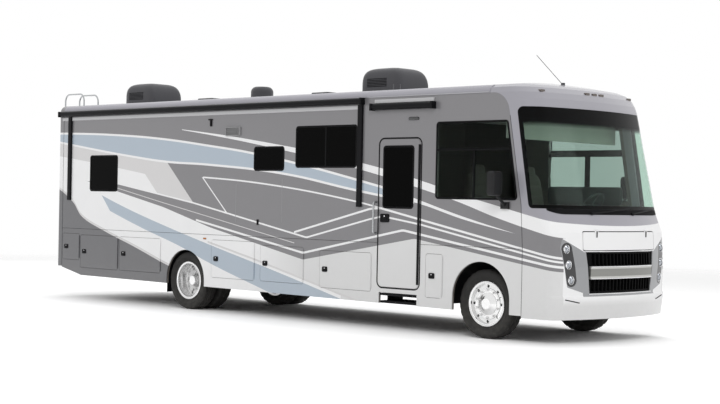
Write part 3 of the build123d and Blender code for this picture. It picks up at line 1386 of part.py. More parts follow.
def make_clearance_lamps():
    """Small lamps along the brow and the top of the rear cap."""
    lamps = []
    for y in MARKERS:
        x = ahead(nose_at(MARKER_Z)) - bow_drop(y) - MARKER_SUNK
        lamp = Pos(x, y, MARKER_Z) * Box(MARKER_DEPTH, MARKER_WIDTH, MARKER_HEIGHT)
        lamps.append(fillet(lamp.edges().filter_by(Axis.X), MARKER_CORNER) - CAP_OUTER)
        rear_outline = Pos(y, REAR_MARKER_Z) * Rectangle(MARKER_WIDTH, REAR_MARKER_HEIGHT)
        lamps.append(along(rear_outline, ahead(REAR_FACE) - REAR_MARKER_PROUD, ahead(REAR_FACE) - SEAM))
    save("marker_lamps", *lamps)


# Inside of the cab and the entry step
def make_dashboard():
    """Dashboard with the column and the steering wheel."""
    inner = HALF_WIDTH - WALL - SEAM
    side = polygon([(ahead(station), z) for station, z in DASH_SIDE])
    dash = across(side, -inner, inner) & front_envelope(WALL + SEAM, -4 * PAST)
    wheel_middle = (ahead(STEERING_STATION), SEAT_Y, STEERING_Z)
    dash += bar_between(COLUMN_RADIUS, (ahead(COLUMN_STATION), SEAT_Y, COLUMN_Z), wheel_middle)
    tilt = degrees(atan2(COLUMN_STATION - STEERING_STATION, STEERING_Z - COLUMN_Z))
    across_rim = 2 * (STEERING_RADIUS - SPOKE_THICK / 2)
    wheel = Torus(STEERING_RADIUS, STEERING_GRIP)
    wheel += Box(across_rim, SPOKE_WIDTH, SPOKE_THICK)
    wheel += Box(SPOKE_WIDTH, across_rim, SPOKE_THICK)
    save("dashboard", dash + Pos(*wheel_middle) * Rot(0, -tilt, 0) * wheel)


def make_seats():
    """Two cab seats on pedestals."""
    x = ahead(SEAT_STATION)
    seats = []
    for side in (-1, 1):
        y = side * SEAT_Y
        pedestal_z = (DASH_FOOT + CUSHION_LOW) / 2
        seat = Pos(x, y, pedestal_z) * Box(PEDESTAL_LENGTH, PEDESTAL_WIDTH, CUSHION_LOW - DASH_FOOT)
        cushion = Pos(x, y, CUSHION_LOW + CUSHION_THICK / 2) * Box(CUSHION_SIZE, CUSHION_SIZE, CUSHION_THICK)
        seat += fillet(cushion.edges().filter_by(Axis.Y), CUSHION_ROUND)
        back = Box(BACK_THICK, BACK_WIDTH, BACK_HEIGHT)
        back = fillet(back.edges().filter_by(Axis.X), CUSHION_ROUND)
        seat += Pos(x - BACK_SET, y, BACK_Z) * Rot(0, -BACK_RECLINE, 0) * back
        seats.append(seat)
    save("seats", *seats)


def make_cabinet():
    """The cabinet over the cab, fitted under the roof."""
    inner = HALF_WIDTH - WALL - SEAM
    cabinet = slab(ahead(CABINET_REAR), ahead(CABINET_FRONT), -inner, inner, CABINET_LOW, ROOF_TOP)
    under_roof = along(roof_section(CABINET_SET, WALL_SEAM), ahead(CABINET_REAR) - PAST, ahead(ROOF_FRONT))
    save("overhead_cabinet", cabinet & (under_roof + front_envelope(CABINET_SET)))


def make_step():
    """The folded entry step under the step well."""
    x = ahead((DOOR_REAR + DOOR_FRONT) / 2)
    half = STEP_LENGTH / 2
    short = half - STEP_TAPER
    outer = -HALF_WIDTH + STEP_SET
    step = slab(x - half, x + half, outer, -STEP_INNER_Y, STEP_TOP - STEP_TREAD, STEP_TOP)
    step += slab(x - short, x + short, outer, -STEP_INNER_Y, STEP_LOW, STEP_LOW + STEP_TREAD)
    cheek_top = DOOR_LOW - WELL_SHEET - SEAM
    for x_low in (x - half, x + half - STEP_CHEEK):
        x_high = x_low + STEP_CHEEK
        step += slab(x_low, x_high, outer + STEP_CHEEK_SET, -STEP_INNER_Y, STEP_LOW, cheek_top)
    save("entry_step", step)


make_front()
make_shell()
make_entry_door()
make_lockers()
make_slide_out()
make_front_wheels()
make_rear_wheels()
make_axles()
make_springs()
make_chassis()
make_engine()
make_liners()
make_hitch()
make_roof_equipment()
make_ladder()
make_awnings()
make_mirrors()
make_wipers()
make_clearance_lamps()
make_dashboard()
make_seats()
make_cabinet()
make_step()
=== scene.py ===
from functools import partialmethod
from math import atan2, cos, exp, pi, radians, sin, sqrt, tau

import bmesh
import bpy
from mathutils import Matrix, Vector
from mathutils.bvhtree import BVHTree


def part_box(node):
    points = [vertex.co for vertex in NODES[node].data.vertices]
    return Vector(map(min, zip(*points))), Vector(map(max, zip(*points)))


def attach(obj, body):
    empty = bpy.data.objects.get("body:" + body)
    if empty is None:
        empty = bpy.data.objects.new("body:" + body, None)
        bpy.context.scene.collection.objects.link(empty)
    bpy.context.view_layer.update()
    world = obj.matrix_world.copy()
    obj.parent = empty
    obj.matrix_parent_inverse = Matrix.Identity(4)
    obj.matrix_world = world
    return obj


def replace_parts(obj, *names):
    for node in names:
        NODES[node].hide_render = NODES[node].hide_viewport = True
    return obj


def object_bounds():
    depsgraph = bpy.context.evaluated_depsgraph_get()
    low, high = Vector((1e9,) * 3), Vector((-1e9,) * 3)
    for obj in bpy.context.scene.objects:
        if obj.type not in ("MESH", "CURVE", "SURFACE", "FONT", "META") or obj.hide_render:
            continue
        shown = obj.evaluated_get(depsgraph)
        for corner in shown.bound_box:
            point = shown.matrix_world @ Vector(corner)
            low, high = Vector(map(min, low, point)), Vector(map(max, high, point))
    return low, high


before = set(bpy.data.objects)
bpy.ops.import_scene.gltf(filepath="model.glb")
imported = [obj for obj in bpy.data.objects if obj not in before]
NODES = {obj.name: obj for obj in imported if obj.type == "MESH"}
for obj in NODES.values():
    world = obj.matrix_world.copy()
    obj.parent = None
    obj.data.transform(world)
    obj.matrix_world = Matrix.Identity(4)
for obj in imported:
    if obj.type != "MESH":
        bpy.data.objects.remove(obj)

CAD_LOW, CAD_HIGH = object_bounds()

# The coach in metres, read from the frame: +X forward, +Y left, +Z up, stations from the front axle
AXLE_X = sum(corner.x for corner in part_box("front_left_tyre")) / 2
REAR_AXLE_X = sum(corner.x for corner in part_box("rear_left_tyres")) / 2
AXLE_Z = sum(corner.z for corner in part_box("front_left_tyre")) / 2
SIDE_Y = -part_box("right_wall")[0].y
WALL_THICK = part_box("right_wall")[1].y + SIDE_Y

# Paint colours, linear
WALL_GREY = (0.200, 0.196, 0.205)
DARK_GREY = (0.115, 0.115, 0.123)
SILVER = (0.320, 0.314, 0.350)
BLUE_GREY = (0.415, 0.485, 0.560)
LIGHT_GREY = (0.665, 0.655, 0.655)
WHITE = (0.87, 0.87, 0.875)
LOWER_WHITE = (0.70, 0.70, 0.70)
SURROUND = (0.29, 0.295, 0.305)
LINING = (0.15, 0.135, 0.12)
ROAD_DUST = (0.36, 0.34, 0.31)


# Shader helpers
class Tree:
    """Adds nodes to one node tree, linking sockets and setting plain values."""

    def __init__(self, tree):
        self.tree = tree

    def node(self, kind, sockets=(), **settings):
        made = self.tree.nodes.new(kind)
        for key, value in settings.items():
            setattr(made, key, value)
        for key, value in dict(sockets).items():
            self.feed(made.inputs[key], value)
        return made

    def feed(self, socket, value):
        if isinstance(value, bpy.types.NodeSocket):
            self.tree.links.new(value, socket)
        elif isinstance(value, tuple) and len(value) == 3 and socket.type == "RGBA":
            socket.default_value = (*value, 1.0)
        else:
            socket.default_value = value

    def math(self, operation, first, second=0.0, clamp=False):
        made = self.node("ShaderNodeMath", {0: first, 1: second}, operation=operation, use_clamp=clamp)
        return made.outputs[0]

    times = partialmethod(math, "MULTIPLY")
    plus = partialmethod(math, "ADD")
    minus = partialmethod(math, "SUBTRACT")
    less = partialmethod(math, "LESS_THAN")
    more = partialmethod(math, "GREATER_THAN")
    size = partialmethod(math, "ABSOLUTE")
    larger = partialmethod(math, "MAXIMUM")

    def mix(self, mask, below, above):
        made = self.node("ShaderNodeMix", data_type="RGBA")
        self.feed(made.inputs["Factor"], mask)
        self.feed(made.inputs[6], below)
        self.feed(made.inputs[7], above)
        return made.outputs[2]

    def spread(self, value, low, high, to_low, to_high):
        made = self.node("ShaderNodeMapRange", {0: value, 1: low, 2: high, 3: to_low, 4: to_high})
        return made.outputs[0]

    def between(self, value, low, high):
        return self.times(self.more(value, low), self.less(value, high))

    def noise(self, where, scale, detail=3.0, rough=0.55):
        made = self.node("ShaderNodeTexNoise", {"Vector": where, "Scale": scale, "Detail": detail, "Roughness": rough})
        return made.outputs["Fac"]

    def place(self):
        return self.node("ShaderNodeTexCoord").outputs["Object"]

    def axes(self, where):
        return self.node("ShaderNodeSeparateXYZ", {0: where}).outputs


def new_group(name, inputs, outputs):
    """A shader node group with named sockets; returns its tree helper, its inputs and its output node."""
    group = bpy.data.node_groups.new(name, "ShaderNodeTree")
    for socket, kind, value in inputs:
        made = group.interface.new_socket(socket, in_out="INPUT", socket_type=kind)
        if value is not None:
            made.default_value = value
    for socket, kind in outputs:
        group.interface.new_socket(socket, in_out="OUTPUT", socket_type=kind)
    tree = Tree(group)
    return tree, tree.node("NodeGroupInput").outputs, tree.node("NodeGroupOutput")


VECTOR, COLOUR, VALUE = "NodeSocketVector", "NodeSocketColor", "NodeSocketFloat"

# Side graphics: edges of the paint bands as station, height points from rear to front
UPPER_BLUE_TOP = [(-9.9, 2.88), (-9.24, 2.87), (-7.94, 2.82), (-6.77, 2.74), (-5.63, 2.62), (-4.56, 2.49), (-1.8, 1.99),
                  (-0.27, 1.60), (0.46, 1.435)]
UPPER_BLUE_LOW = [(-9.9, 2.75), (-9.23, 2.66), (-7.59, 2.46), (-6.67, 2.37), (-5.62, 2.32), (-3.86, 2.18),
                  (-2.36, 1.95), (-1.21, 1.79), (-0.27, 1.565), (0.46, 1.43)]
SWOOSH_TOP = [(-6.29, 2.89), (-4.53, 2.69), (-2.2, 2.33), (-0.81, 2.02), (-0.42, 1.91), (0.01, 1.82), (0.65, 1.68),
              (1.3, 1.54)]
SWOOSH_LOW = [(-6.29, 2.88), (-4.53, 2.635), (-2.2, 2.23), (-0.81, 1.91), (-0.42, 1.81), (0.29, 1.60), (1.3, 1.355)]
LOWER_WHITE_TOP = [(-9.9, 2.25), (-8.9, 2.05), (-6.74, 1.63), (-5.55, 1.33), (-3.41, 0.91), (-1.19, 1.29), (1.3, 0.93)]
REAR_PATCH_LOW = [(-9.9, 2.24), (-8.9, 2.05), (-8.01, 2.01), (-5.97, 1.71), (-3.34, 1.24)]
REAR_WHITE_TOP = [(-9.9, 2.50), (-9.27, 2.43), (-7.24, 2.17), (-6.9, 2.12)]
LOWER_BLUE_TOP = [(-8.6, 1.88), (-7.66, 1.60), (-6.73, 1.36), (-5.72, 1.12), (-3.81, 0.69), (-2.6, 0.40)]
LOWER_BLUE_LOW = [(-8.45, 1.62), (-7.28, 1.27), (-6.27, 1.00), (-5.62, 0.79), (-4.23, 0.41), (-3.8, 0.30)]
DARK_REAR_TOP = [(-9.9, 2.0), (-9.28, 1.70), (-8.99, 1.44), (-8.33, 1.21), (-7.55, 0.99), (-6.62, 0.71), (-6.2, 0.60)]
PANEL_LINE = [(-5.74, 2.12), (-4.24, 2.02), (-2.36, 1.79), (-1.85, 1.70)]
CREST_LINE = [(-3.61, 1.31), (-2.05, 1.685), (-1.85, 1.70), (-1.69, 1.67), (1.3, 1.10)]
LONG_LINE = [(-8.9, 2.06), (-8.01, 2.01), (-5.97, 1.71), (-3.34, 1.24), (-2.05, 1.54), (-1.8, 1.585), (-1.1, 1.49),
             (1.3, 1.05)]
LOW_LINE = [(-5.9, 1.44), (-3.41, 1.01), (-1.41, 1.40), (1.3, 0.99)]
THIN_LINE = [(-8.3, 1.985), (-6.74, 1.70), (-3.60, 1.15)]
SKIRT_LINE = [(-5.6, 1.10), (-4.48, 0.87), (-2.28, 0.37)]
# Slanting ends of the bands, each from a high point to a low one
PATCH_END = ((-6.67, 2.37), (-5.97, 1.71))
REAR_WHITE_END = ((-7.24, 2.17), (-6.93, 1.88))
LOWER_BLUE_END = ((-8.45, 1.82), (-8.19, 1.54))
PANEL_FRONT, PANEL_REAR = ((-5.74, 2.12), (-5.14, 1.57)), ((-5.77, 2.12), (-5.17, 1.57))
# Stations where a colour changes, and the box that the edge curves are drawn in
GRAPHIC_NOSE, FRONT_GREY, BLUE_END, LOWER_SHADE = 1.27, 0.35, -1.8, (-4.6, -3.4)
CURVE_REAR, CURVE_FRONT, CURVE_TOP = -10.0, 1.6, 3.6


def edge_curve(tree, station, points, straight):
    """Height of a paint edge at each station."""
    share = tree.spread(station, CURVE_REAR, CURVE_FRONT, 0.0, 1.0)
    made = tree.node("ShaderNodeFloatCurve", {"Value": share})
    places = [((x - CURVE_REAR) / (CURVE_FRONT - CURVE_REAR), z / CURVE_TOP) for x, z in points]
    curve = made.mapping.curves[0]
    while len(curve.points) < len(places):
        curve.points.new(0.5, 0.5)
    for point, spot in zip(curve.points, places):
        point.location = spot
        point.handle_type = "VECTOR" if straight else "AUTO"
    made.mapping.update()
    return tree.times(made.outputs[0], CURVE_TOP)


def side_graphics():
    """Paint of the coach's sides: swooshes, chevron pinstripes, dark rear and white lower front."""
    tree, given, result = new_group(
        "side_graphics", [("Place", VECTOR, None), ("Ground", COLOUR, (*WALL_GREY, 1))], [("Color", COLOUR)]
    )
    x, y, z = tree.axes(given["Place"])
    station = tree.minus(x, AXLE_X)

    def below(points, straight=False):
        return tree.less(z, edge_curve(tree, station, points, straight))

    def within(points):
        return tree.between(station, points[0][0], points[-1][0])

    def slanted(start, end):
        """Behind a slanting line from a high point to a low one."""
        slope = (end[0] - start[0]) / (start[1] - end[1])
        line = tree.plus(tree.times(tree.minus(start[1], z), slope), start[0])
        return tree.less(station, line)

    def both(first, second):
        return tree.times(first, second)

    def unlike(mask):
        return tree.minus(1.0, mask)

    def band(top, low):
        return both(below(top), unlike(below(low)))

    def stripe(points, width, straight=True):
        height = edge_curve(tree, station, points, straight)
        near = tree.less(tree.size(tree.minus(z, height)), width / 2)
        return both(near, within(points))

    colour = given["Ground"]
    low_white = below(LOWER_WHITE_TOP, True)
    patch = both(both(below(UPPER_BLUE_LOW), unlike(below(REAR_PATCH_LOW, True))), slanted(*PATCH_END))
    lower_blue = both(unlike(slanted(*LOWER_BLUE_END)), within(LOWER_BLUE_TOP))
    panel_edge = both(slanted(*PANEL_FRONT), unlike(slanted(*PANEL_REAR)))
    panel_span = both(below(PANEL_LINE), unlike(below(REAR_PATCH_LOW, True)))
    hood = unlike(tree.less(station, GRAPHIC_NOSE))
    layers = [
        (both(below(SWOOSH_TOP), tree.more(station, FRONT_GREY)), WALL_GREY),
        (low_white, WHITE),
        (both(low_white, tree.spread(station, *LOWER_SHADE, 0.0, 1.0)), LOWER_WHITE),
        (patch, LIGHT_GREY),
        (both(both(patch, below(REAR_WHITE_TOP)), slanted(*REAR_WHITE_END)), WHITE),
        (both(band(LOWER_BLUE_TOP, LOWER_BLUE_LOW), lower_blue), BLUE_GREY),
        (stripe(LOWER_BLUE_TOP, 0.05, False), WHITE),
        (stripe(SKIRT_LINE, 0.03), LIGHT_GREY),
        (both(below(DARK_REAR_TOP), within(DARK_REAR_TOP)), DARK_GREY),
        (stripe(DARK_REAR_TOP, 0.04, False), LIGHT_GREY),
        (band(UPPER_BLUE_TOP, UPPER_BLUE_LOW), BLUE_GREY),
        (both(band(UPPER_BLUE_TOP, UPPER_BLUE_LOW), tree.more(station, BLUE_END)), WHITE),
        (stripe(UPPER_BLUE_TOP[:-2], 0.034, False), WHITE),
        (stripe(UPPER_BLUE_LOW[:-2], 0.034, False), WHITE),
        (both(band(SWOOSH_TOP, SWOOSH_LOW), within(SWOOSH_TOP)), WHITE),
        (stripe(PANEL_LINE, 0.024, False), WHITE),
        (both(panel_edge, panel_span), WHITE),
        (stripe(CREST_LINE, 0.03), WHITE),
        (stripe(LONG_LINE, 0.026), WHITE),
        (stripe(LOW_LINE, 0.032), WHITE),
        (stripe(THIN_LINE, 0.012), LIGHT_GREY),
        (both(hood, below(SWOOSH_TOP)), WHITE),
    ]
    for mask, paint in layers:
        colour = tree.mix(mask, colour, paint)
    tree.feed(result.inputs["Color"], colour)
    return tree.tree


def surface_grain():
    """Fine mottle shared by every finish: colour and roughness drift and a height for bump."""
    tree, given, result = new_group(
        "surface_grain",
        [("Place", VECTOR, None), ("Color", COLOUR, (0.5, 0.5, 0.5, 1)), ("Scale", VALUE, 40.0), ("Drift", VALUE, 0.1),
         ("Roughness", VALUE, 0.4), ("Roughness drift", VALUE, 0.1)],
        [("Color", COLOUR), ("Roughness", VALUE), ("Height", VALUE)],
    )
    coarse = tree.noise(given["Place"], given["Scale"])
    fine = tree.noise(given["Place"], tree.times(given["Scale"], 9.0), 2.0)
    drift = tree.times(tree.minus(coarse, 0.5), given["Drift"])
    shade = tree.node("ShaderNodeHueSaturation", {"Color": given["Color"], "Value": tree.plus(drift, 1.0)})
    rough = tree.times(tree.minus(fine, 0.5), given["Roughness drift"])
    tree.feed(result.inputs["Color"], shade.outputs[0])
    tree.feed(result.inputs["Roughness"], tree.plus(given["Roughness"], rough, True))
    tree.feed(result.inputs["Height"], tree.plus(coarse, tree.times(fine, 0.5)))
    return tree.tree


def road_film():
    """A thin film of road dust that thickens towards the ground."""
    tree, given, result = new_group(
        "road_film",
        [("Place", VECTOR, None), ("Color", COLOUR, (0.5, 0.5, 0.5, 1)), ("Roughness", VALUE, 0.4),
         ("Amount", VALUE, 0.2), ("Reach", VALUE, 1.0)],
        [("Color", COLOUR), ("Roughness", VALUE)],
    )
    z = tree.axes(given["Place"])[2]
    fade = tree.spread(z, 0.0, given["Reach"], 1.0, 0.0)
    speckle = tree.spread(tree.noise(given["Place"], 14.0, 5.0), 0.35, 0.75, 0.3, 1.0)
    mask = tree.times(tree.times(fade, speckle), given["Amount"], True)
    tree.feed(result.inputs["Color"], tree.mix(mask, given["Color"], ROAD_DUST))
    tree.feed(result.inputs["Roughness"], tree.plus(given["Roughness"], tree.times(mask, 0.5), True))
    return tree.tree


GRAPHICS = side_graphics()
GRAIN = surface_grain()
FILM = road_film()
BUMP_DEPTH = 0.002


def finish(colour, roughness, scale=40.0, drift=0.12, rough_drift=0.15, bump=0.1, film=0.0, **constants):
    """A material from the shared grain and film groups, around one Principled shader.

    colour is a plain colour, or a function of the tree and the place that gives a colour socket.
    """
    made = bpy.data.materials.new("finish")
    made.use_nodes = True
    made.node_tree.nodes.clear()
    tree = Tree(made.node_tree)
    place = tree.place()
    paint = colour(tree, place) if callable(colour) else colour
    grain = tree.node("ShaderNodeGroup", {"Place": place, "Color": paint, "Scale": scale, "Drift": drift,
                                          "Roughness": roughness, "Roughness drift": rough_drift}, node_tree=GRAIN)
    shade, rough = grain.outputs["Color"], grain.outputs["Roughness"]
    if film:
        dust = tree.node("ShaderNodeGroup", {"Place": place, "Color": shade, "Roughness": rough, "Amount": film},
                         node_tree=FILM)
        shade, rough = dust.outputs["Color"], dust.outputs["Roughness"]
    shader = tree.node("ShaderNodeBsdfPrincipled", {"Base Color": shade, "Roughness": rough})
    for key, value in constants.items():
        tree.feed(shader.inputs[key.replace("_", " ").title().replace("Ior", "IOR")], value)
    if bump:
        height = grain.outputs["Height"]
        relief = tree.node("ShaderNodeBump", {"Height": height, "Strength": bump, "Distance": BUMP_DEPTH})
        tree.feed(shader.inputs["Normal"], relief.outputs[0])
    end = tree.node("ShaderNodeOutputMaterial", {"Surface": shader.outputs[0]})
    end.is_active_output = True
    return made


# Finishes
INSIDE_SHARE = 0.35
BAND_END_Y, HOOD_BAND_Z = 1.125, 1.37
BUMPER_SHADE = (0.50, 0.60)
PANEL_HALF, PANEL_HEIGHTS = 0.80, (0.622, 1.195)
CAB_REAR = -0.9
HOUSE_GLASS, CAB_GLASS = (0.003, 0.003, 0.004), (0.40, 0.46, 0.44)
SCREEN_LEAN, SCREEN_BORDER, SUN_BAND = 0.228, 0.045, 0.26
SCREEN_GREEN, SCREEN_BLACK = (0.62, 0.76, 0.69), (0.004, 0.005, 0.007)
# Grille bar: painted highlights along its top and bottom edges, a duller silver between them
BAR_UNHIGHLIGHTED_HEIGHTS, BAR_PAINTED_HIGHLIGHT, BAR_UNHIGHLIGHTED = (0.880, 0.978), (0.52, 0.52, 0.50), (0.25, 0.25, 0.235)
LAMP_PLACES = [(1.068, 1.232), (1.044, 1.032), (0.998, 0.836)]
LAMP_COLUMN, LAMP_HALO, LAMP_BLACK = 0.2, 0.082, (0.020, 0.020, 0.022)


def graphics_over(ground, tree, place):
    """The side graphics over a ground colour."""
    return tree.node("ShaderNodeGroup", {"Place": place, "Ground": ground}, node_tree=GRAPHICS).outputs[0]


def side_paint(tree, place):
    """The side graphics outside, and a plain lining on the faces inside the skin."""
    inside = tree.less(tree.size(tree.axes(place)[1]), SIDE_Y - INSIDE_SHARE * WALL_THICK)
    return tree.mix(inside, graphics_over(WALL_GREY, tree, place), LINING)


def front_paint(tree, place):
    """The graphics carried round the nose, with a white hood, a shaded bumper and a grey field round the grille."""
    x, y, z = tree.axes(place)
    aside = tree.size(y)
    hood = tree.times(tree.less(aside, BAND_END_Y), tree.less(z, HOOD_BAND_Z))
    colour = tree.mix(hood, graphics_over(SILVER, tree, place), WHITE)
    colour = tree.mix(tree.spread(z, BUMPER_SHADE[1], BUMPER_SHADE[0], 0.0, 1.0), colour, LOWER_WHITE)
    field = tree.times(tree.less(aside, PANEL_HALF), tree.between(z, *PANEL_HEIGHTS))
    return tree.mix(field, colour, SURROUND)


def rear_paint(tree, place):
    """The ends of the side graphics carried across the rear."""
    return graphics_over(WALL_GREY, tree, place)


def screen_tint(tree, place):
    """Green tinted glass with a black edge and a dark band along the top."""
    x, y, z = tree.axes(place)
    low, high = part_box("windscreen")
    edge = tree.spread(z, low.z, high.z, low.x + SCREEN_LEAN, low.x)
    sides = tree.less(tree.minus(x, edge), SCREEN_BORDER)
    foot = tree.less(z, low.z + SCREEN_BORDER)
    head = tree.spread(z, high.z - SUN_BAND, high.z - 0.75 * SUN_BAND, 0.0, 1.0)
    return tree.mix(tree.larger(tree.larger(sides, foot), head), SCREEN_GREEN, SCREEN_BLACK)


def privacy_tint(tree, place):
    """Nearly black glass in the house, lighter glass beside the driver."""
    station = tree.minus(tree.axes(place)[0], AXLE_X)
    return tree.mix(tree.more(station, CAB_REAR), HOUSE_GLASS, CAB_GLASS)


def bar_painted_highlights(tree, place):
    """Painted highlights: bright edges along the grille bar, a duller silver between them."""
    return tree.mix(tree.between(tree.axes(place)[2], *BAR_UNHIGHLIGHTED_HEIGHTS), BAR_PAINTED_HIGHLIGHT, BAR_UNHIGHLIGHTED)


def lamp_ground(tree, place):
    """Silver surround, black round the column of lamps."""
    x, y, z = tree.axes(place)
    (top_y, top_z), (_, middle_z), (foot_y, foot_z) = LAMP_PLACES
    aside = tree.size(tree.minus(tree.size(y), tree.spread(z, top_z, foot_z, top_y, foot_y)))
    beyond = tree.larger(tree.minus(tree.size(tree.minus(z, middle_z)), LAMP_COLUMN), 0.0)
    far = tree.plus(tree.times(aside, aside), tree.times(beyond, beyond))
    return tree.mix(tree.less(far, LAMP_HALO * LAMP_HALO), SURROUND, LAMP_BLACK)


# Each row: colour, roughness, grain scale, colour and roughness drift, bump, then film and the shader's constants
PAINT = dict(scale=3.0, drift=0.035, rough_drift=0.05, bump=0.0, film=0.12, coat_weight=0.6, coat_roughness=0.06)
FINISH = {
    "coach_paint": finish(side_paint, 0.32, **PAINT),
    "rear_paint": finish(rear_paint, 0.32, **PAINT),
    "front_paint": finish(front_paint, 0.30, **PAINT),
    "roof_skin": finish(SILVER, 0.38, 5.0, 0.06, 0.08, 0.0, coat_weight=0.4, coat_roughness=0.12),
    "dark_glass": finish(privacy_tint, 0.02, 6.0, 0.05, 0.02, 0.0, transmission_weight=1.0, ior=1.12),
    "screen_glass": finish(screen_tint, 0.02, 6.0, 0.02, 0.02, 0.0, transmission_weight=1.0, ior=1.18),
    "black_plastic": finish((0.0055, 0.0055, 0.0065), 0.45, 60.0, 0.25, 0.2, 0.25, specular_ior_level=0.10),
    "grey_plastic": finish((0.062, 0.062, 0.068), 0.40, 60.0, 0.2, 0.2, 0.25, specular_ior_level=0.3),
    "seal_rubber": finish((0.005, 0.005, 0.0055), 0.62, 80.0, 0.3, 0.15, 0.2, specular_ior_level=0.08),
    "grille_black": finish((0.0028, 0.0028, 0.003), 0.5, 60.0, 0.25, 0.2, 0.25, specular_ior_level=0.04),
    "mirror_shell": finish((0.013, 0.013, 0.014), 0.42, 60.0, 0.2, 0.2, 0.2, specular_ior_level=0.22),
    "vent_grey": finish((0.27, 0.27, 0.275), 0.42, 40.0, 0.08, 0.12, 0.1),
    # The grille bar's silver carries painted highlights along its top and bottom edges
    "bar_silver": finish(bar_painted_highlights, 0.30, 60.0, 0.08, 0.12, 0.05, metallic=0.55),
    "marker_amber": finish((0.42, 0.15, 0.03), 0.2, 30.0, 0.1, 0.1, 0.1, coat_weight=0.4),
    "pale_plastic": finish((0.52, 0.52, 0.53), 0.42, 50.0, 0.08, 0.15, 0.12),
    "rail_metal": finish((0.40, 0.40, 0.42), 0.36, 60.0, 0.08, 0.15, 0.06, metallic=0.4),
    "mirror_glass": finish((0.72, 0.74, 0.76), 0.03, 6.0, 0.03, 0.02, 0.0, metallic=1.0),
    "lens_clear": finish((0.95, 0.96, 0.97), 0.02, 20.0, 0.02, 0.02, 0.0, transmission_weight=1.0, ior=1.2),
    "reflector": finish((0.66, 0.67, 0.69), 0.14, 60.0, 0.05, 0.1, 0.1, metallic=1.0),
    "smoked_cover": finish((0.03, 0.031, 0.033), 0.18, 8.0, 0.1, 0.05, 0.0, coat_weight=0.5),
    "plate_blank": finish((0.66, 0.66, 0.65), 0.38, 40.0, 0.05, 0.1, 0.1),
    "core_fins": finish((0.012, 0.012, 0.013), 0.5, 90.0, 0.3, 0.2, 0.3, metallic=0.5),
    "bright_trim": finish((0.74, 0.74, 0.75), 0.16, 30.0, 0.06, 0.08, 0.05, metallic=1.0),
    "surround_silver": finish(lamp_ground, 0.30, 8.0, 0.04, 0.06, 0.0, metallic=0.25,
                              coat_weight=0.5, coat_roughness=0.1),
    "tyre_rubber": finish((0.022, 0.0215, 0.021), 0.74, 30.0, 0.3, 0.15, 0.3, film=0.14, specular_ior_level=0.25),
    "wheel_metal": finish((0.80, 0.80, 0.80), 0.18, 25.0, 0.05, 0.1, 0.04, film=0.1, metallic=1.0),
    "chassis_black": finish((0.02, 0.02, 0.021), 0.55, 20.0, 0.3, 0.2, 0.2, film=0.3),
    "cast_metal": finish((0.09, 0.09, 0.095), 0.55, 45.0, 0.3, 0.2, 0.4, film=0.25, metallic=0.8),
    "lamp_clear": finish((0.78, 0.80, 0.82), 0.08, 30.0, 0.08, 0.05, 0.0, coat_weight=1.0),
    "lamp_red": finish((0.30, 0.012, 0.010), 0.12, 120.0, 0.3, 0.05, 0.1, coat_weight=1.0),
    "lamp_amber": finish((0.050, 0.028, 0.018), 0.2, 120.0, 0.2, 0.05, 0.1, coat_weight=1.0),
    "tube_metal": finish((0.45, 0.46, 0.47), 0.28, 60.0, 0.08, 0.15, 0.06, metallic=1.0),
    "floor_board": finish((0.16, 0.12, 0.085), 0.5, 8.0, 0.25, 0.15, 0.1),
    "seat_cover": finish((0.10, 0.085, 0.07), 0.55, 90.0, 0.2, 0.15, 0.5),
    "cabin_wood": finish((0.60, 0.58, 0.53), 0.42, 6.0, 0.25, 0.1, 0.05),
    "tank_plastic": finish((0.045, 0.045, 0.048), 0.6, 30.0, 0.2, 0.15, 0.2, film=0.2),
    "dash_vinyl": finish((0.060, 0.070, 0.071), 0.6, 90.0, 0.2, 0.15, 0.4, specular_ior_level=0.25),
}

for finish_name, finish_made in FINISH.items():
    finish_made.name = finish_name

# Which finish each CAD node wears
WEARS = {
    "coach_paint": ["right_wall", "left_wall", "right_skirt", "left_skirt", "entry_door", "slide_out_room",
                    *[name for name in NODES if name.endswith(("locker_door", "service_door"))]],
    "rear_paint": ["rear_cap"],
    "front_paint": ["front_cap", "front_lid"],
    "roof_skin": ["roof"],
    "dark_glass": ["side_windows", "entry_door_glass", "slide_out_windows"],
    "screen_glass": ["windscreen"],
    "grille_black": ["grille"],
    "black_plastic": ["wipers", "awnings", "wheel_liners", "entry_step"],
    "mirror_shell": ["mirrors"],
    "grey_plastic": ["air_conditioners", "roof_fittings"],
    "bar_silver": ["grille_bar"],
    "surround_silver": ["lamp_surrounds"],
    "tyre_rubber": ["front_left_tyre", "front_right_tyre", "rear_left_tyres", "rear_right_tyres"],
    "wheel_metal": ["front_left_wheel", "front_right_wheel", "rear_left_wheel", "rear_right_wheel"],
    "chassis_black": ["chassis_frame", "leaf_springs", "hitch_receiver", "locker_boxes", "front_axle", "rear_axle"],
    "cast_metal": ["left_knuckle", "right_knuckle", "engine"],
    "lamp_clear": ["headlamps"],
    "lamp_red": ["tail_lamps"],
    "lamp_amber": ["marker_lamps"],
    "tube_metal": ["ladder"],
    "floor_board": ["floor"],
    "seat_cover": ["seats"],
    "cabin_wood": ["overhead_cabinet"],
    "tank_plastic": ["tanks"],
    "dash_vinyl": ["dashboard"],
}
for wearing, names in WEARS.items():
    for node_name in names:
        slots = NODES[node_name].data.materials
        slots.clear()
        slots.append(FINISH[wearing])


# Dressed pieces
RIGHT, LEFT = -1, 1
SLIDE_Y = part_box("slide_out_room")[1].y
REAR_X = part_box("rear_cap")[0].x
ROOF_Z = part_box("roof")[1].z
DRIP_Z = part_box("right_wall")[1].z


def at(station):
    """X of a station measured from the front axle."""
    return AXLE_X + station


def spread_between(low, high, count):
    """Evenly spaced values, both ends taken in."""
    return [low + (high - low) * step / (count - 1) for step in range(count)]


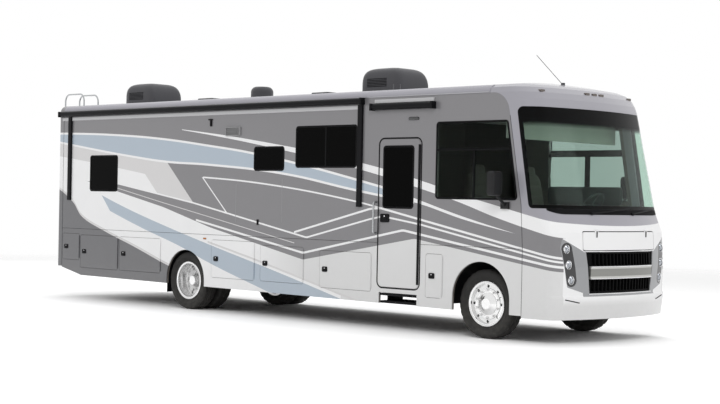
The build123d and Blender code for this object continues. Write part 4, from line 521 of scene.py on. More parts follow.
def rect(rear, front, low, high):
    """Corners of a rectangle, counter-clockwise."""
    return [(rear, low), (front, low), (front, high), (rear, high)]


def centred(across, height, wide, tall):
    """Corners of a rectangle about its middle, from its half sizes."""
    return rect(across - wide, across + wide, height - tall, height + tall)


def round_poly(corners, radius, grow=0.0, steps=5):
    """A convex outline with its corners rounded, moved outward by a little."""
    outline = []
    for index, corner in enumerate(corners):
        corner = Vector(corner)
        coming = (corner - Vector(corners[index - 1])).normalized()
        going = (Vector(corners[(index + 1) % len(corners)]) - corner).normalized()
        first = Vector((coming.y, -coming.x))
        last = Vector((going.y, -going.x))
        middle = corner - radius * (first + last) / (1 + first.dot(last))
        start = atan2(first.y, first.x)
        turn = (atan2(last.y, last.x) - start) % tau
        for step in range(steps + 1):
            angle = start + turn * step / steps
            outline.append(middle + (radius + grow) * Vector((cos(angle), sin(angle))))
    return outline


class Pile:
    """Faces of one dressed piece, gathered in the shared frame."""

    def __init__(self):
        self.points = []
        self.faces = []

    def rings(self, rings, closed=False):
        """Quads between rings of equal length; closed joins the last ring to the first, else the ends are capped."""
        start = len(self.points)
        count = len(rings[0])
        for ring in rings:
            self.points += [tuple(point) for point in ring]
        for low in range(len(rings) if closed else len(rings) - 1):
            high = (low + 1) % len(rings)
            for here in range(count):
                there = (here + 1) % count
                quad = ((low, here), (low, there), (high, there), (high, here))
                self.faces.append(tuple(start + ring * count + place for ring, place in quad))
        if not closed:
            last = start + (len(rings) - 1) * count
            self.faces.append(tuple(start + place for place in reversed(range(count))))
            self.faces.append(tuple(last + place for place in range(count)))

    def box(self, low, high):
        """A block between two corners."""
        corners = rect(low[0], high[0], low[1], high[1])
        self.rings([[(x, y, z) for x, y in corners] for z in (low[2], high[2])])

    def outlined(self, put, corners, radius, section, closed):
        """A rounded outline repeated; section lists how far out and how high each edge is, put places a point."""
        rings = []
        for grow, height in section:
            rings.append([put(across, up, height) for across, up in round_poly(corners, radius, grow)])
        self.rings(rings, closed)

    def side(self, corners, radius, section, side=RIGHT, face=SIDE_Y, closed=False):
        """A plate, or a closed frame, on a side wall."""
        self.outlined(lambda station, z, out: (at(station), side * (face + out), z), corners, radius, section, closed)

    def rear(self, corners, radius, section, closed=False):
        """A plate, or a closed frame, on the rear cap."""
        self.outlined(lambda y, z, out: (REAR_X - out, y, z), corners, radius, section, closed)

    def plan(self, corners, radius, section):
        """A plate seen from above; its section gives heights from the ground."""
        self.outlined(lambda station, y, z: (at(station), y, z), corners, radius, section, False)

    def turned(self, middle, axis, profile, segments=32, closed=False):
        """A profile of distance along an axis and radius, turned about it."""
        axis = Vector(axis)
        up = Vector((0, 0, 1)) if abs(axis.z) < 0.9 else Vector((1, 0, 0))
        first = axis.cross(up).normalized()
        second = axis.cross(first)
        angles = [tau * step / segments for step in range(segments)]
        rings = []
        for along, radius in profile:
            hub = Vector(middle) + axis * along
            rings.append([hub + radius * (cos(angle) * first + sin(angle) * second) for angle in angles])
        self.rings(rings, closed)

    def tube(self, path, radius, segments=10):
        """A round bar along a row of points."""
        path = [Vector(point) for point in path]
        angles = [tau * step / segments for step in range(segments)]
        rings = []
        side = None
        for index, point in enumerate(path):
            ahead = (path[min(index + 1, len(path) - 1)] - path[max(index - 1, 0)]).normalized()
            if side is None:
                side = ahead.orthogonal().normalized()
            side = (side - ahead * side.dot(ahead)).normalized()
            over = ahead.cross(side)
            rings.append([point + radius * (cos(angle) * side + sin(angle) * over) for angle in angles])
        self.rings(rings)

    def lay(self, name, wearing, slot=None, body="coach", bevel=0.0, sharp=35.0, levels=0):
        """The finished piece, riding on its body. The slot argument is not used."""
        mesh = bpy.data.meshes.new(name)
        mesh.from_pydata(self.points, [], self.faces)
        shell = bmesh.new()
        shell.from_mesh(mesh)
        bmesh.ops.recalc_face_normals(shell, faces=shell.faces)
        shell.to_mesh(mesh)
        shell.free()
        mesh.shade_smooth()
        mesh.set_sharp_from_angle(angle=radians(sharp))
        mesh.materials.append(FINISH[wearing])
        piece = bpy.data.objects.new(name, mesh)
        bpy.context.scene.collection.objects.link(piece)
        if bevel:
            edge = piece.modifiers.new("soft_edges", "BEVEL")
            edge.width = bevel
            edge.segments = 2
            edge.limit_method = "ANGLE"
        if levels:
            smooth = piece.modifiers.new("smooth", "SUBSURF")
            smooth.levels = levels
            smooth.render_levels = levels
        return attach(piece, body)


def skin_of(*names):
    """A surface to lay pieces on, made from CAD nodes."""
    points, faces = [], []
    for name in names:
        mesh = NODES[name].data
        start = len(points)
        points += [vertex.co.copy() for vertex in mesh.vertices]
        faces += [[start + index for index in face.vertices] for face in mesh.polygons]
    return BVHTree.FromPolygons(points, faces)


NOSE = skin_of("front_cap", "front_lid", "lamp_surrounds", "grille_bar")
NOSE_STATION = 1.35


def nose_x(y, z, proud=0.0):
    """X of the nose at a place in front view."""
    met = NOSE.ray_cast(Vector((CAD_HIGH.x + 1, y, z)), Vector((-1, 0, 0)))[0]
    return (met or NOSE.find_nearest(Vector((at(NOSE_STATION), y, z)))[0]).x + proud


def moved(profile, start):
    """A profile shifted along its axis."""
    return [(start + along, radius) for along, radius in profile]


# Windows by body: side, face and corners of each pane
CAB_PANE = [(-0.810, 1.857), (0.581, 1.857), (0.406, 2.875), (-0.810, 2.875)]
BEDROOM_PANE = rect(-8.766, -8.005, 1.885, 2.472)
GALLEY_PANE = rect(-4.522, -3.867, 2.237, 2.578)
LOUNGE_PANE = rect(-3.592, -2.344, 2.282, 2.871)
DOOR_PANE = rect(-1.793, -1.237, 1.713, 2.562)
REAR_SLIDE_PANE = rect(-6.9, -5.7, 1.95, 2.55)
FRONT_SLIDE_PANE = rect(-4.2, -3.0, 1.95, 2.55)
PANES = {
    "coach": [(RIGHT, SIDE_Y, BEDROOM_PANE), (RIGHT, SIDE_Y, GALLEY_PANE), (RIGHT, SIDE_Y, LOUNGE_PANE),
              (RIGHT, SIDE_Y, CAB_PANE), (LEFT, SIDE_Y, BEDROOM_PANE), (LEFT, SIDE_Y, CAB_PANE)],
    "entry_door": [(RIGHT, SIDE_Y, DOOR_PANE)],
    "slide_out": [(LEFT, SLIDE_Y, REAR_SLIDE_PANE), (LEFT, SLIDE_Y, FRONT_SLIDE_PANE)],
}
# Bars across the panes by body: side, face, rear, front, low, high
PANE_BARS = {
    "coach": [(RIGHT, SIDE_Y, -0.81, 0.462, 2.494, 2.526), (RIGHT, SIDE_Y, -0.171, -0.139, 1.857, 2.51),
              (LEFT, SIDE_Y, -0.81, 0.455, 2.495, 2.59), (LEFT, SIDE_Y, -0.185, -0.105, 1.857, 2.51),
              (RIGHT, SIDE_Y, -2.983, -2.953, 2.282, 2.871)],
    "slide_out": [(LEFT, SLIDE_Y, middle - 0.015, middle + 0.015, 1.95, 2.55) for middle in (-6.3, -3.6)],
}
BAR_INSET, BAR_PROUD = 0.024, 0.0035
PANE_RADIUS = 0.035
GASKET = [(0.016, 0.0002), (0.014, 0.0050), (0.004, 0.0062), (-0.010, 0.0045), (-0.012, 0.0002)]


def make_window_trim():
    """Rubber gaskets round every pane and bars between the sliding ones."""
    for body, panes in PANES.items():
        gaskets = Pile()
        for side, face, corners in panes:
            gaskets.side(corners, PANE_RADIUS, GASKET, side, face, closed=True)
        gaskets.lay(f"{body}_window_gaskets", "seal_rubber", "black_plastic", body)
    for body, bars in PANE_BARS.items():
        pile = Pile()
        for side, face, rear, front, low, high in bars:
            near, far = sorted((side * (face - BAR_INSET), side * (face + BAR_PROUD)))
            pile.box((at(rear), near, low), (at(front), far, high))
        pile.lay(f"{body}_window_bars", "seal_rubber", "black_plastic", body, bevel=0.002)


# Lockers: side, rear edge, low, high
LOCKERS = {
    "rear_service": (RIGHT, -9.561, 0.672, 1.123),
    "rear_locker": (RIGHT, -9.024, 0.545, 1.108),
    "axle_locker": (RIGHT, -7.902, 0.549, 1.108),
    "centre_rear_locker": (RIGHT, -5.500, 0.547, 1.134),
    "centre_locker": (RIGHT, -4.347, 0.550, 1.090),
    "centre_front_locker": (RIGHT, -3.050, 0.521, 1.060),
    "cab_service": (RIGHT, -0.971, 0.499, 1.091),
    "left_utility_locker": (LEFT, -9.024, 0.545, 1.108),
    "left_centre_locker": (LEFT, -5.500, 0.547, 1.134),
    "left_front_locker": (LEFT, -3.050, 0.521, 1.060),
}
LATCH_INSET, LATCH_HALF, LATCH_PROUD = 0.110, (0.046, 0.033), 0.009
DOOR_REAR, DOOR_FRONT, DOOR_LOW, DOOR_HIGH = -1.872, -1.108, 0.600, 2.665
DOOR_LATCH_INSET, DOOR_LATCH_Z, DOOR_LATCH_HALF, DOOR_LATCH_PROUD = 0.118, 1.562, (0.075, 0.054), 0.014
HINGE_AHEAD, HINGE_PROUD, HINGE_RADIUS = 0.0025, 0.0085, 0.0083
HINGE_ENDS = (DOOR_LOW + 0.058, DOOR_HIGH - 0.078)
SEAL_OUTLINE = rect(DOOR_REAR - 0.006, DOOR_FRONT + 0.016, DOOR_LOW - 0.006, DOOR_HIGH + 0.006)
SEAL_RADIUS, SEAL = 0.085, [(0.018, 0.0002), (0.016, 0.0045), (0.004, 0.006), (0.0, 0.0002)]


def add_latch(cups, locks, station, z, half, proud, side):
    """A latch cup over its pad, with a paddle and a lock."""
    wide, tall = half
    cup = [(0.006, 0.0003), (0.004, proud + 0.003), (-0.006, proud + 0.0035), (-0.010, proud + 0.0006)]
    cups.side(centred(station, z, wide, tall), 0.014, cup, side)
    paddle = rect(station - 0.62 * wide, station + 0.62 * wide, z - 0.45 * tall, z + 0.15 * tall)
    cups.side(paddle, 0.005, [(0.002, proud), (0.0, proud + 0.0045), (-0.004, proud + 0.0052)], side)
    barrel = [(proud, 0.10 * wide + 0.003), (proud + 0.003, 0.10 * wide + 0.003), (proud + 0.0035, 0.06 * wide)]
    locks.turned((at(station), side * SIDE_Y, z + 0.5 * tall), (0, side, 0), barrel, 16)


def make_latches():
    """Latches of the lockers, and the latch, hinge sleeve and seal of the entry door."""
    for name, (side, rear, low, high) in LOCKERS.items():
        cups, locks = Pile(), Pile()
        add_latch(cups, locks, rear + LATCH_INSET, (low + high) / 2, LATCH_HALF, LATCH_PROUD, side)
        cups.lay(f"{name}_latch", "black_plastic", body=f"{name}_door")
        locks.lay(f"{name}_lock", "bright_trim", body=f"{name}_door")
    cups, locks = Pile(), Pile()
    add_latch(cups, locks, DOOR_REAR + DOOR_LATCH_INSET, DOOR_LATCH_Z, DOOR_LATCH_HALF, DOOR_LATCH_PROUD, RIGHT)
    cups.tube([(at(DOOR_FRONT) + HINGE_AHEAD, -SIDE_Y - HINGE_PROUD, z) for z in HINGE_ENDS], HINGE_RADIUS, 24)
    leaf = rect(DOOR_FRONT - 0.034, DOOR_FRONT - 0.002, *HINGE_ENDS)
    cups.side(leaf, 0.003, [(0.002, 0.0003), (0.001, 0.0044)])
    cups.lay("entry_door_latch", "black_plastic", body="entry_door")
    locks.lay("entry_door_lock", "bright_trim", body="entry_door")

    seal = Pile()
    seal.side(SEAL_OUTLINE, SEAL_RADIUS, SEAL, closed=True)
    seal.lay("entry_door_seal", "seal_rubber", "black_plastic")


# Front
LAMP_REACH, LAMP_SEGMENTS = 0.07, 40
LAMP_BOWL = [(-0.088, 0.056), (-0.016, 0.0575), (-0.010, 0.056), (-0.010, 0.050), (-0.030, 0.046), (-0.052, 0.036),
             (-0.066, 0.022), (-0.070, 0.012), (-0.046, 0.010), (-0.042, 0.006)]
LAMP_BEZEL = [(-0.016, 0.0595), (0.004, 0.0592), (0.008, 0.056), (0.004, 0.051), (-0.008, 0.049), (-0.016, 0.051)]
LAMP_LENS = [(-0.008, 0.050), (-0.004, 0.049), (0.002, 0.038), (0.006, 0.022), (0.0075, 0.004)]
GRILLE_LOW, GRILLE_HIGH = 0.663, 1.196
# Bright lips: height, half width, how far above it the nose is met, how proud, radius
GRILLE_LIPS = ((0.852, 0.683, 0.0, 0.001, 0.007), (1.005, 0.683, 0.0, 0.001, 0.007),
               (0.6545, 0.70, -0.012, 0.002, 0.008), (GRILLE_HIGH + 0.006, 0.772, 0.008, 0.002, 0.008))
SLOT_ACROSS, SLOT_HEIGHTS, SLOT_RADIUS = (0.87, 1.10), (0.545, 0.588), 0.0075
COWL_HALF, COWL_CORNER, COWL_DEPTH, COWL_PROUD = 1.222, 0.24, 0.070, 0.003
STRAP_PLACES, STRAP_SPAN = (-0.56, 0.56), (1.478 - 0.095, 1.478 - 0.014)
CORE_FACE, CORE_HALF, FIN_HALF = at(1.205), 0.70, 0.60


def lamp_front(y, z):
    """X of a headlamp's face."""
    spots = [vertex.co for vertex in NODES["headlamps"].data.vertices]
    return max(spot.x for spot in spots if abs(spot.y - y) < LAMP_REACH and abs(spot.z - z) < LAMP_REACH)


def make_headlamps():
    """Bowls, bezels and lenses of the round lamps."""
    bowls, bezels, lenses = Pile(), Pile(), Pile()
    for side in (RIGHT, LEFT):
        for y, z in LAMP_PLACES:
            middle = (lamp_front(side * y, z), side * y, z)
            for pile, profile in ((bowls, LAMP_BOWL), (bezels, LAMP_BEZEL), (lenses, LAMP_LENS)):
                pile.turned(middle, (1, 0, 0), profile, LAMP_SEGMENTS, closed=pile is bezels)
    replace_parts(bowls.lay("headlamp_bowls", "reflector", "lamp_clear"), "headlamps")
    bezels.lay("headlamp_bezels", "bright_trim")
    lenses.lay("headlamp_lenses", "lens_clear", "lamp_clear")


def make_front_trim():
    """Bright grille lips, bumper slots, the cowl strip under the windscreen, lid straps and the radiator core."""
    lips = Pile()
    for z, half, above, proud, radius in GRILLE_LIPS:
        lips.tube([(nose_x(y, z + above, proud), y, z) for y in spread_between(-half, half, 31)], radius)
    lips.lay("grille_lips", "bright_trim")

    slots = Pile()
    for side in (RIGHT, LEFT):
        path = zip(spread_between(*SLOT_ACROSS, 12), spread_between(*SLOT_HEIGHTS, 12))
        slots.tube([(nose_x(side * y, z, -0.002), side * y, z) for y, z in path], SLOT_RADIUS)
    slots.lay("bumper_slots", "seal_rubber", "black_plastic")

    strip = Pile()
    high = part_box("windscreen")[0].z - 0.0005
    sections = []
    for share in spread_between(-0.5, 0.5, 81):
        y = COWL_HALF * sin(pi * share)
        run = min(1.0, (COWL_HALF + 0.01 - abs(y)) / COWL_CORNER)
        heights = spread_between(high - COWL_DEPTH * sqrt(1 - (1 - run) ** 2), high, 5)
        outer = [(nose_x(y, z, COWL_PROUD), y, z) for z in heights]
        sections.append(outer + [(nose_x(y, z, -COWL_PROUD), y, z) for z in reversed(heights)])
    strip.rings(sections)
    strip.lay("cowl_strip", "seal_rubber", "black_plastic")

    straps = Pile()
    outline = ((-0.001, -0.012), (0.005, -0.010), (0.005, 0.010), (-0.001, 0.012))
    for y in STRAP_PLACES:
        heights = spread_between(*STRAP_SPAN, 6)
        straps.rings([[(nose_x(y, z) + proud, y + across, z) for proud, across in outline] for z in heights])
    straps.lay("lid_straps", "black_plastic", body="front_lid", bevel=0.0015)

    core = Pile()
    core.box((CORE_FACE - 0.045, -CORE_HALF, GRILLE_LOW - 0.03), (CORE_FACE - 0.010, CORE_HALF, GRILLE_HIGH + 0.01))
    for y in spread_between(-FIN_HALF, FIN_HALF, 61):
        core.box((CORE_FACE - 0.012, y - 0.0025, GRILLE_LOW + 0.012), (CORE_FACE, y + 0.0025, GRILLE_HIGH - 0.012))
    for z in spread_between(GRILLE_LOW + 0.03, GRILLE_HIGH - 0.03, 13):
        core.box((CORE_FACE - 0.014, -FIN_HALF, z - 0.003), (CORE_FACE - 0.003, FIN_HALF, z + 0.003))
    core.lay("radiator_core", "core_fins", "chassis_black")


# Wheels: half a tyre's section as offset and radius, from the bead over the shoulder to the middle of the tread
TYRE_HALF = [(0.086, 0.2865), (0.0865, 0.300), (0.0895, 0.313), (0.101, 0.330), (0.112, 0.347), (0.1195, 0.364),
             (0.1215, 0.366), (0.1235, 0.3705), (0.1228, 0.375), (0.1245, 0.386), (0.1252, 0.400), (0.1238, 0.414),
             (0.1240, 0.418), (0.1215, 0.424), (0.117, 0.4345), (0.112, 0.446), (0.106, 0.4545), (0.094, 0.4605),
             (0.074, 0.4614), (0.072, 0.4515), (0.063, 0.4515), (0.061, 0.4618), (0.034, 0.4620), (0.032, 0.4515),
             (0.0235, 0.4515), (0.0215, 0.4620)]
LUG_INSET, LUG_RADIUS, LUG_DEPTH, LUG_STEP = 0.073, 0.440, 0.008, 4
TYRE_SEGMENTS, WHEEL_SEGMENTS = 112, 72
# Wheel name: tyre node, axle, side, middles of its tyres, face of its disc, edge of its rim
WHEELS = {
    "front_left": ("front_left_tyre", AXLE_X, LEFT, (1.040,), 1.110, 1.140),
    "front_right": ("front_right_tyre", AXLE_X, RIGHT, (1.040,), 1.110, 1.140),
    "rear_left": ("rear_left_tyres", REAR_AXLE_X, LEFT, (1.095, 0.775), 0.953, 1.195),
    "rear_right": ("rear_right_tyres", REAR_AXLE_X, RIGHT, (1.095, 0.775), 0.953, 1.195),
}
RIM_TRIM = [(0.0005, 0.3035), (0.005, 0.300), (0.006, 0.291), (0.002, 0.280), (-0.010, 0.2705), (-0.022, 0.2685),
            (-0.022, 0.2702), (-0.002, 0.2712), (0.0005, 0.285)]
NUT_RING = [(0.0004, 0.212), (0.004, 0.210), (0.005, 0.206), (0.004, 0.168), (0.0004, 0.166)]
NUTS, NUT_CIRCLE = 10, 0.187
NUT_HEXAGON = [(0.003, 0.0185), (0.018, 0.0185), (0.019, 0.0165)]
NUT_DOME = [(0.018, 0.0150), (0.030, 0.0135), (0.036, 0.0095), (0.038, 0.004)]
VALVE_ANGLE, VALVE_RADIUS, VALVE_STEM = 0.4, 0.005, ((0.252, -0.006), (0.248, 0.014), (0.240, 0.030))


def add_tyre(pile, axle_x, y):
    """A tyre with ribs, grooves and notched shoulders."""
    profile = TYRE_HALF + [(-offset, radius) for offset, radius in reversed(TYRE_HALF)]
    rings = []
    for offset, radius in profile:
        ring = []
        for step in range(TYRE_SEGMENTS):
            notched = abs(offset) > LUG_INSET and radius > LUG_RADIUS and step % LUG_STEP == 0
            reach = radius - LUG_DEPTH if notched else radius
            angle = tau * step / TYRE_SEGMENTS
            ring.append((axle_x + reach * cos(angle), y + offset, AXLE_Z + reach * sin(angle)))
        rings.append(ring)
    pile.rings(rings, closed=True)


def make_wheels():
    """Treaded tyres, and bright rims with nuts, trim rings and valves."""
    for name, (tyre_node, axle_x, side, rows, disc_y, rim_y) in WHEELS.items():
        body = f"{name}_wheel"
        tyres = Pile()
        for y in rows:
            add_tyre(tyres, axle_x, side * y)
        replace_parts(tyres.lay(f"{name}_tread", "tyre_rubber", body=body, sharp=28), tyre_node)

        bright = Pile()
        middle, outward = (axle_x, 0, AXLE_Z), (0, side, 0)
        bright.turned(middle, outward, moved(RIM_TRIM, rim_y), WHEEL_SEGMENTS, closed=True)
        bright.turned(middle, outward, moved(NUT_RING, disc_y), WHEEL_SEGMENTS, closed=True)
        for nut in range(NUTS):
            angle = tau * (nut + 0.5) / NUTS
            place = (axle_x + NUT_CIRCLE * cos(angle), 0, AXLE_Z + NUT_CIRCLE * sin(angle))
            bright.turned(place, outward, moved(NUT_HEXAGON, disc_y), 6)
            bright.turned(place, outward, moved(NUT_DOME, disc_y), 16)
        bright.lay(f"{name}_bright_work", "wheel_metal", body=body, sharp=25)

        valve = Pile()
        valve.tube([(axle_x + reach * cos(VALVE_ANGLE), side * (disc_y + out), AXLE_Z + reach * sin(VALVE_ANGLE))
                    for reach, out in VALVE_STEM], VALVE_RADIUS)
        valve.lay(f"{name}_valve", "seal_rubber", "black_plastic", body)


# Side fittings
# Awning rails: rear, front, low and high from the drip edge, how proud
AWNING_RAILS = ((-9.62, -2.22, -0.158, -0.098, 0.012), (-1.985, -0.87, -0.083, -0.030, 0.020))
GUTTER_SPAN = (-9.58, 0.10)
GUTTER = [(-0.0015, 0.003), (0.011, 0.002), (0.013, 0.014), (0.011, 0.0145), (0.0095, 0.005), (-0.0015, 0.007)]
CAP_JOINT = [(0.690, 0.356), (0.690, 1.215), (0.655, 1.784), (0.445, 2.95)]
REAR_JOINT, REAR_JOINT_FOOT = -9.585, 0.56
SEAM_Z = 1.215
SEAM_RUNS = {RIGHT: ((-9.58, -1.90), (-1.07, 0.685)), LEFT: ((-9.58, 0.685),)}
JOINT_PROUD, JOINT_RADIUS, SEAM_RADIUS, JOINT_SEGMENTS = 0.0004, 0.0028, 0.0024, 8
VENT_REAR, VENT_FRONT, VENT_LOW, VENT_HIGH = -5.20, -4.85, 2.764, 2.907
VENT_FRAME = [(0.0, 0.0002), (-0.002, 0.022), (-0.016, 0.024), (-0.019, 0.006)]
VENT_BLADE = [(0.005, -0.010), (0.0215, -0.004), (0.0215, -0.001), (0.005, 0.006)]
PORCH_LAMP = [(0.0, 0.0002), (-0.001, 0.012), (-0.006, 0.018), (-0.014, 0.021)]
WALL_JOINT = [(0.0, 0.0001), (-0.001, 0.0016)]
MARKER = [(0.0, 0.0002), (-0.001, 0.010), (-0.006, 0.014)]
FILLER_DOOR = [(0.0, 0.0002), (-0.001, 0.006), (-0.008, 0.007), (-0.011, 0.005)]
# Piece: finish, slot, and the corners, radius, section and side of each of its plates
WALL_PLATES = {
    "porch_lamp": ("smoked_cover", "lamp_clear", [(centred(-1.240, 2.944, 0.095, 0.022), 0.020, PORCH_LAMP, RIGHT)]),
    "awning_bracket": ("black_plastic", "black_plastic", [
        (rect(-5.580, -5.540, 2.924, 3.041), 0.006, [(0.0, 0.0002), (-0.001, 0.016), (-0.004, 0.019)], RIGHT),
        (rect(-5.615, -5.530, 3.019, 3.041), 0.006, [(0.0, 0.0002), (-0.001, 0.022), (-0.004, 0.025)], RIGHT),
        (centred(-4.42, 1.44, 0.017, 0.042), 0.006, [(0.0, 0.0002), (-0.001, 0.014), (-0.005, 0.017)], RIGHT)]),
    "wall_joints": ("vent_grey", "upper_paint", [
        (rect(-4.945, -4.935, 1.42, 2.015), 0.002, WALL_JOINT, RIGHT),
        (rect(-3.895, -3.885, 1.44, 2.10), 0.002, WALL_JOINT, RIGHT)]),
    "side_markers": ("marker_amber", "lamp_amber", [
        (centred(-5.669, 1.150, 0.035, 0.014), 0.010, MARKER, side) for side in (RIGHT, LEFT)]),
    "filler_doors": ("pale_plastic", "grey_plastic", [
        (centred(-6.95, 1.13, 0.075, 0.075), 0.02, FILLER_DOOR, LEFT),
        (centred(-1.35, 0.92, 0.085, 0.085), 0.02, FILLER_DOOR, LEFT)]),
}


def make_side_trim():
    """Awning rails, drip rails, panel joints, the wall vent and the small plates on the walls."""
    rails = Pile()
    for rear, front, low, high, proud in AWNING_RAILS:
        section = [(0.0, 0.0002), (-0.001, proud - 0.003), (-0.004, proud)]
        rails.side(rect(rear, front, DRIP_Z + low, DRIP_Z + high), 0.006, section)
    rails.lay("awning_rails", "pale_plastic", "grey_plastic")

    gutters = Pile()
    for side in (RIGHT, LEFT):
        gutters.rings([[(at(station), side * (SIDE_Y + out), DRIP_Z + above) for out, above in GUTTER]
                       for station in GUTTER_SPAN])
    gutters.lay("drip_rails", "rail_metal", "tube_metal")

    joints = Pile()
    for side in (RIGHT, LEFT):
        y = side * (SIDE_Y + JOINT_PROUD)
        rear_ends = (REAR_JOINT_FOOT, DRIP_Z - 0.002)
        joints.tube([(at(station), y, z) for station, z in CAP_JOINT], JOINT_RADIUS, JOINT_SEGMENTS)
        joints.tube([(at(REAR_JOINT), y, z) for z in rear_ends], JOINT_RADIUS, JOINT_SEGMENTS)
        for run in SEAM_RUNS[side]:
            joints.tube([(at(station), y, SEAM_Z) for station in run], SEAM_RADIUS, JOINT_SEGMENTS)
    joints.lay("panel_joints", "seal_rubber", "black_plastic")

    vent = Pile()
    vent.side(rect(VENT_REAR, VENT_FRONT, VENT_LOW, VENT_HIGH), 0.024, VENT_FRAME)
    for z in spread_between(VENT_LOW + 0.032, VENT_HIGH - 0.032, 5):
        vent.rings([[(at(station), -SIDE_Y - out, z + above) for out, above in VENT_BLADE]
                    for station in (VENT_REAR + 0.018, VENT_FRONT - 0.018)])
    vent.lay("wall_vent", "vent_grey", "grey_plastic")

    for name, (wearing, slot, plates) in WALL_PLATES.items():
        pile = Pile()
        for corners, radius, section, side in plates:
            pile.side(corners, radius, section, side)
        pile.lay(name, wearing, slot)


MIRROR_PANES = ((2.005, 2.200), (1.912, 1.990))
MIRROR_INSET, MIRROR_HALF, MIRROR_RADIUS = 0.100, 0.082, 0.032
MIRROR_RIM = [(0.006, -0.0005), (0.005, 0.006), (-0.004, 0.007), (-0.008, 0.0005)]
MIRROR_GLASS = [(-0.007, -0.0002), (-0.009, 0.0025), (-0.03, 0.0028)]


def make_mirrors():
    """Mirror glass in a rim on the rear of each head."""
    low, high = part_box("mirrors")
    for side, name in ((RIGHT, "right"), (LEFT, "left")):
        rim, glass = Pile(), Pile()
        middle = side * (high.y - MIRROR_INSET)
        for bottom, top in MIRROR_PANES:
            corners = rect(middle - MIRROR_HALF, middle + MIRROR_HALF, bottom, top)
            for pile, section in ((rim, MIRROR_RIM), (glass, MIRROR_GLASS)):
                pile.outlined(lambda y, z, out: (low.x - out, y, z), corners, MIRROR_RADIUS, section, pile is rim)
        rim.lay(f"{name}_mirror_rim", "seal_rubber", "black_plastic")
        glass.lay(f"{name}_mirror_glass", "mirror_glass", "bright_trim")


# Roof
COOLERS = (-2.8, -8.69)
COOLER_HALF, COOLER_LENGTH, COOLER_RISE, COOLER_CURB = 0.343, 0.41, 0.368, 0.03
SHROUD_RINGS, SHROUD_START, SHROUD_SPAN, SHROUD_ARC = 33, 0.35, 32.7, 24
SHROUD_FRONT, SHROUD_REAR, SHROUD_BOXY = 1 / 2.6, 1 / 6.0, 0.40
LOUVRE_ROWS, LOUVRE_SPAN = (0.085, 0.20), (-0.26, 0.14)
LOUVRE_BLADE = [(-0.006, -0.009), (0.009, -0.006), (0.010, -0.003), (-0.006, 0.006)]
HATCHES, HATCH_HALF = (-4.25, -7.05), 0.19
HATCH_COVER = [(0.004, 0.030), (0.006, 0.046), (0.0, 0.054), (-0.030, 0.059), (-0.038, 0.059)]
DOME_STATION = -5.8
DOME_RING = [(-0.01, 0.205), (0.012, 0.204), (0.016, 0.198), (0.017, 0.186)]


def soft_power(value, power):
    """A signed power, for forms between a box and an ellipsoid."""
    return abs(value) ** power * (1 if value >= 0 else -1)


def shroud_ring(station, along, foot, base, top):
    """One section across a cooler's shroud, from its left foot over the top to its right foot."""
    x = at(station) + COOLER_LENGTH * along
    rise = (1 - abs(along) ** 4.5) ** (SHROUD_FRONT if along > 0 else SHROUD_REAR)
    wide = COOLER_HALF * (0.80 + 0.20 * (1 - abs(along) ** 6) ** 0.5)
    ring = [(x, wide, foot)]
    for place in range(SHROUD_ARC + 1):
        angle = pi * place / SHROUD_ARC
        height = base + (top - base) * rise * sin(angle) ** SHROUD_BOXY
        ring.append((x, wide * soft_power(cos(angle), SHROUD_BOXY), height))
    return ring + [(x, -wide, foot)]


def make_roof_trim():
    """Shrouds and louvres of the coolers, hatch covers and the dome's base ring."""
    shrouds, louvres = Pile(), Pile()
    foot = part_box("air_conditioners")[0].z
    base, top = ROOF_Z + COOLER_CURB, ROOF_Z + COOLER_RISE
    for station in COOLERS:
        shares = [-cos(pi * (step + SHROUD_START) / SHROUD_SPAN) for step in range(SHROUD_RINGS)]
        shrouds.rings([shroud_ring(station, along, foot, base, top) for along in shares])
        for side in (RIGHT, LEFT):
            for above in spread_between(*LOUVRE_ROWS, 6):
                z = ROOF_Z + above
                face = COOLER_HALF * (1 - ((z - base) / (top - base)) ** 5) ** 0.2
                louvres.rings([[(at(station + end), side * (face + out), z + up) for out, up in LOUVRE_BLADE]
                               for end in LOUVRE_SPAN])
    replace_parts(shrouds.lay("cooler_shrouds", "grey_plastic", sharp=60), "air_conditioners")
    louvres.lay("cooler_louvres", "black_plastic", "grey_plastic", bevel=0.002)

    covers = Pile()
    for station in HATCHES:
        section = [(grow, ROOF_Z + above) for grow, above in HATCH_COVER]
        covers.plan(centred(station, 0, HATCH_HALF, HATCH_HALF), 0.04, section)
    covers.lay("hatch_covers", "smoked_cover", "grey_plastic")

    ring = Pile()
    ring.turned((at(DOME_STATION), 0, ROOF_Z), (0, 0, 1), DOME_RING, 64)
    ring.lay("dome_base_ring", "black_plastic", "grey_plastic")


# Rear and step
# Tail lamps: across, height, half width, half height
TAIL_LAMPS = ((1.155, 1.18, 0.055, 0.165), (1.155, 0.85, 0.055, 0.075))
TAIL_BEZEL = [(0.009, 0.0002), (0.008, 0.009), (0.001, 0.011), (0.0002, 0.002)]
RIBS_PER_METRE, FEWEST_RIBS = 70, 5
PLATE_OUTLINE, PLATE_RADIUS = rect(-0.158, 0.158, 0.862, 1.022), 0.022
PLATE_HOLDER = [(0.014, 0.0002), (0.013, 0.008), (0.004, 0.009), (0.002, 0.003)]
PLATE_FACE = [(-0.002, 0.003), (-0.002, 0.0055), (-0.010, 0.0055), (-0.012, 0.0068), (-0.018, 0.0068)]
PLATE_LAMP_OUTLINE = rect(-0.05, 0.05, 1.048, 1.078)
PLATE_LAMP = [(0.0, 0.0002), (-0.002, 0.022), (-0.006, 0.026)]
LADDER_RAILS, LADDER_MIDDLE, LADDER_STAYS = (-1.07, -0.77), -0.92, (0.90, 1.90, 2.95)
LADDER_FOOT = [(0.0002, 0.034), (0.005, 0.033), (0.008, 0.018), (0.020, 0.014)]
RUNGS, RUNG_LOW, RUNG_STEP, RUNG_INSET = 9, 0.86, 0.3, 0.013
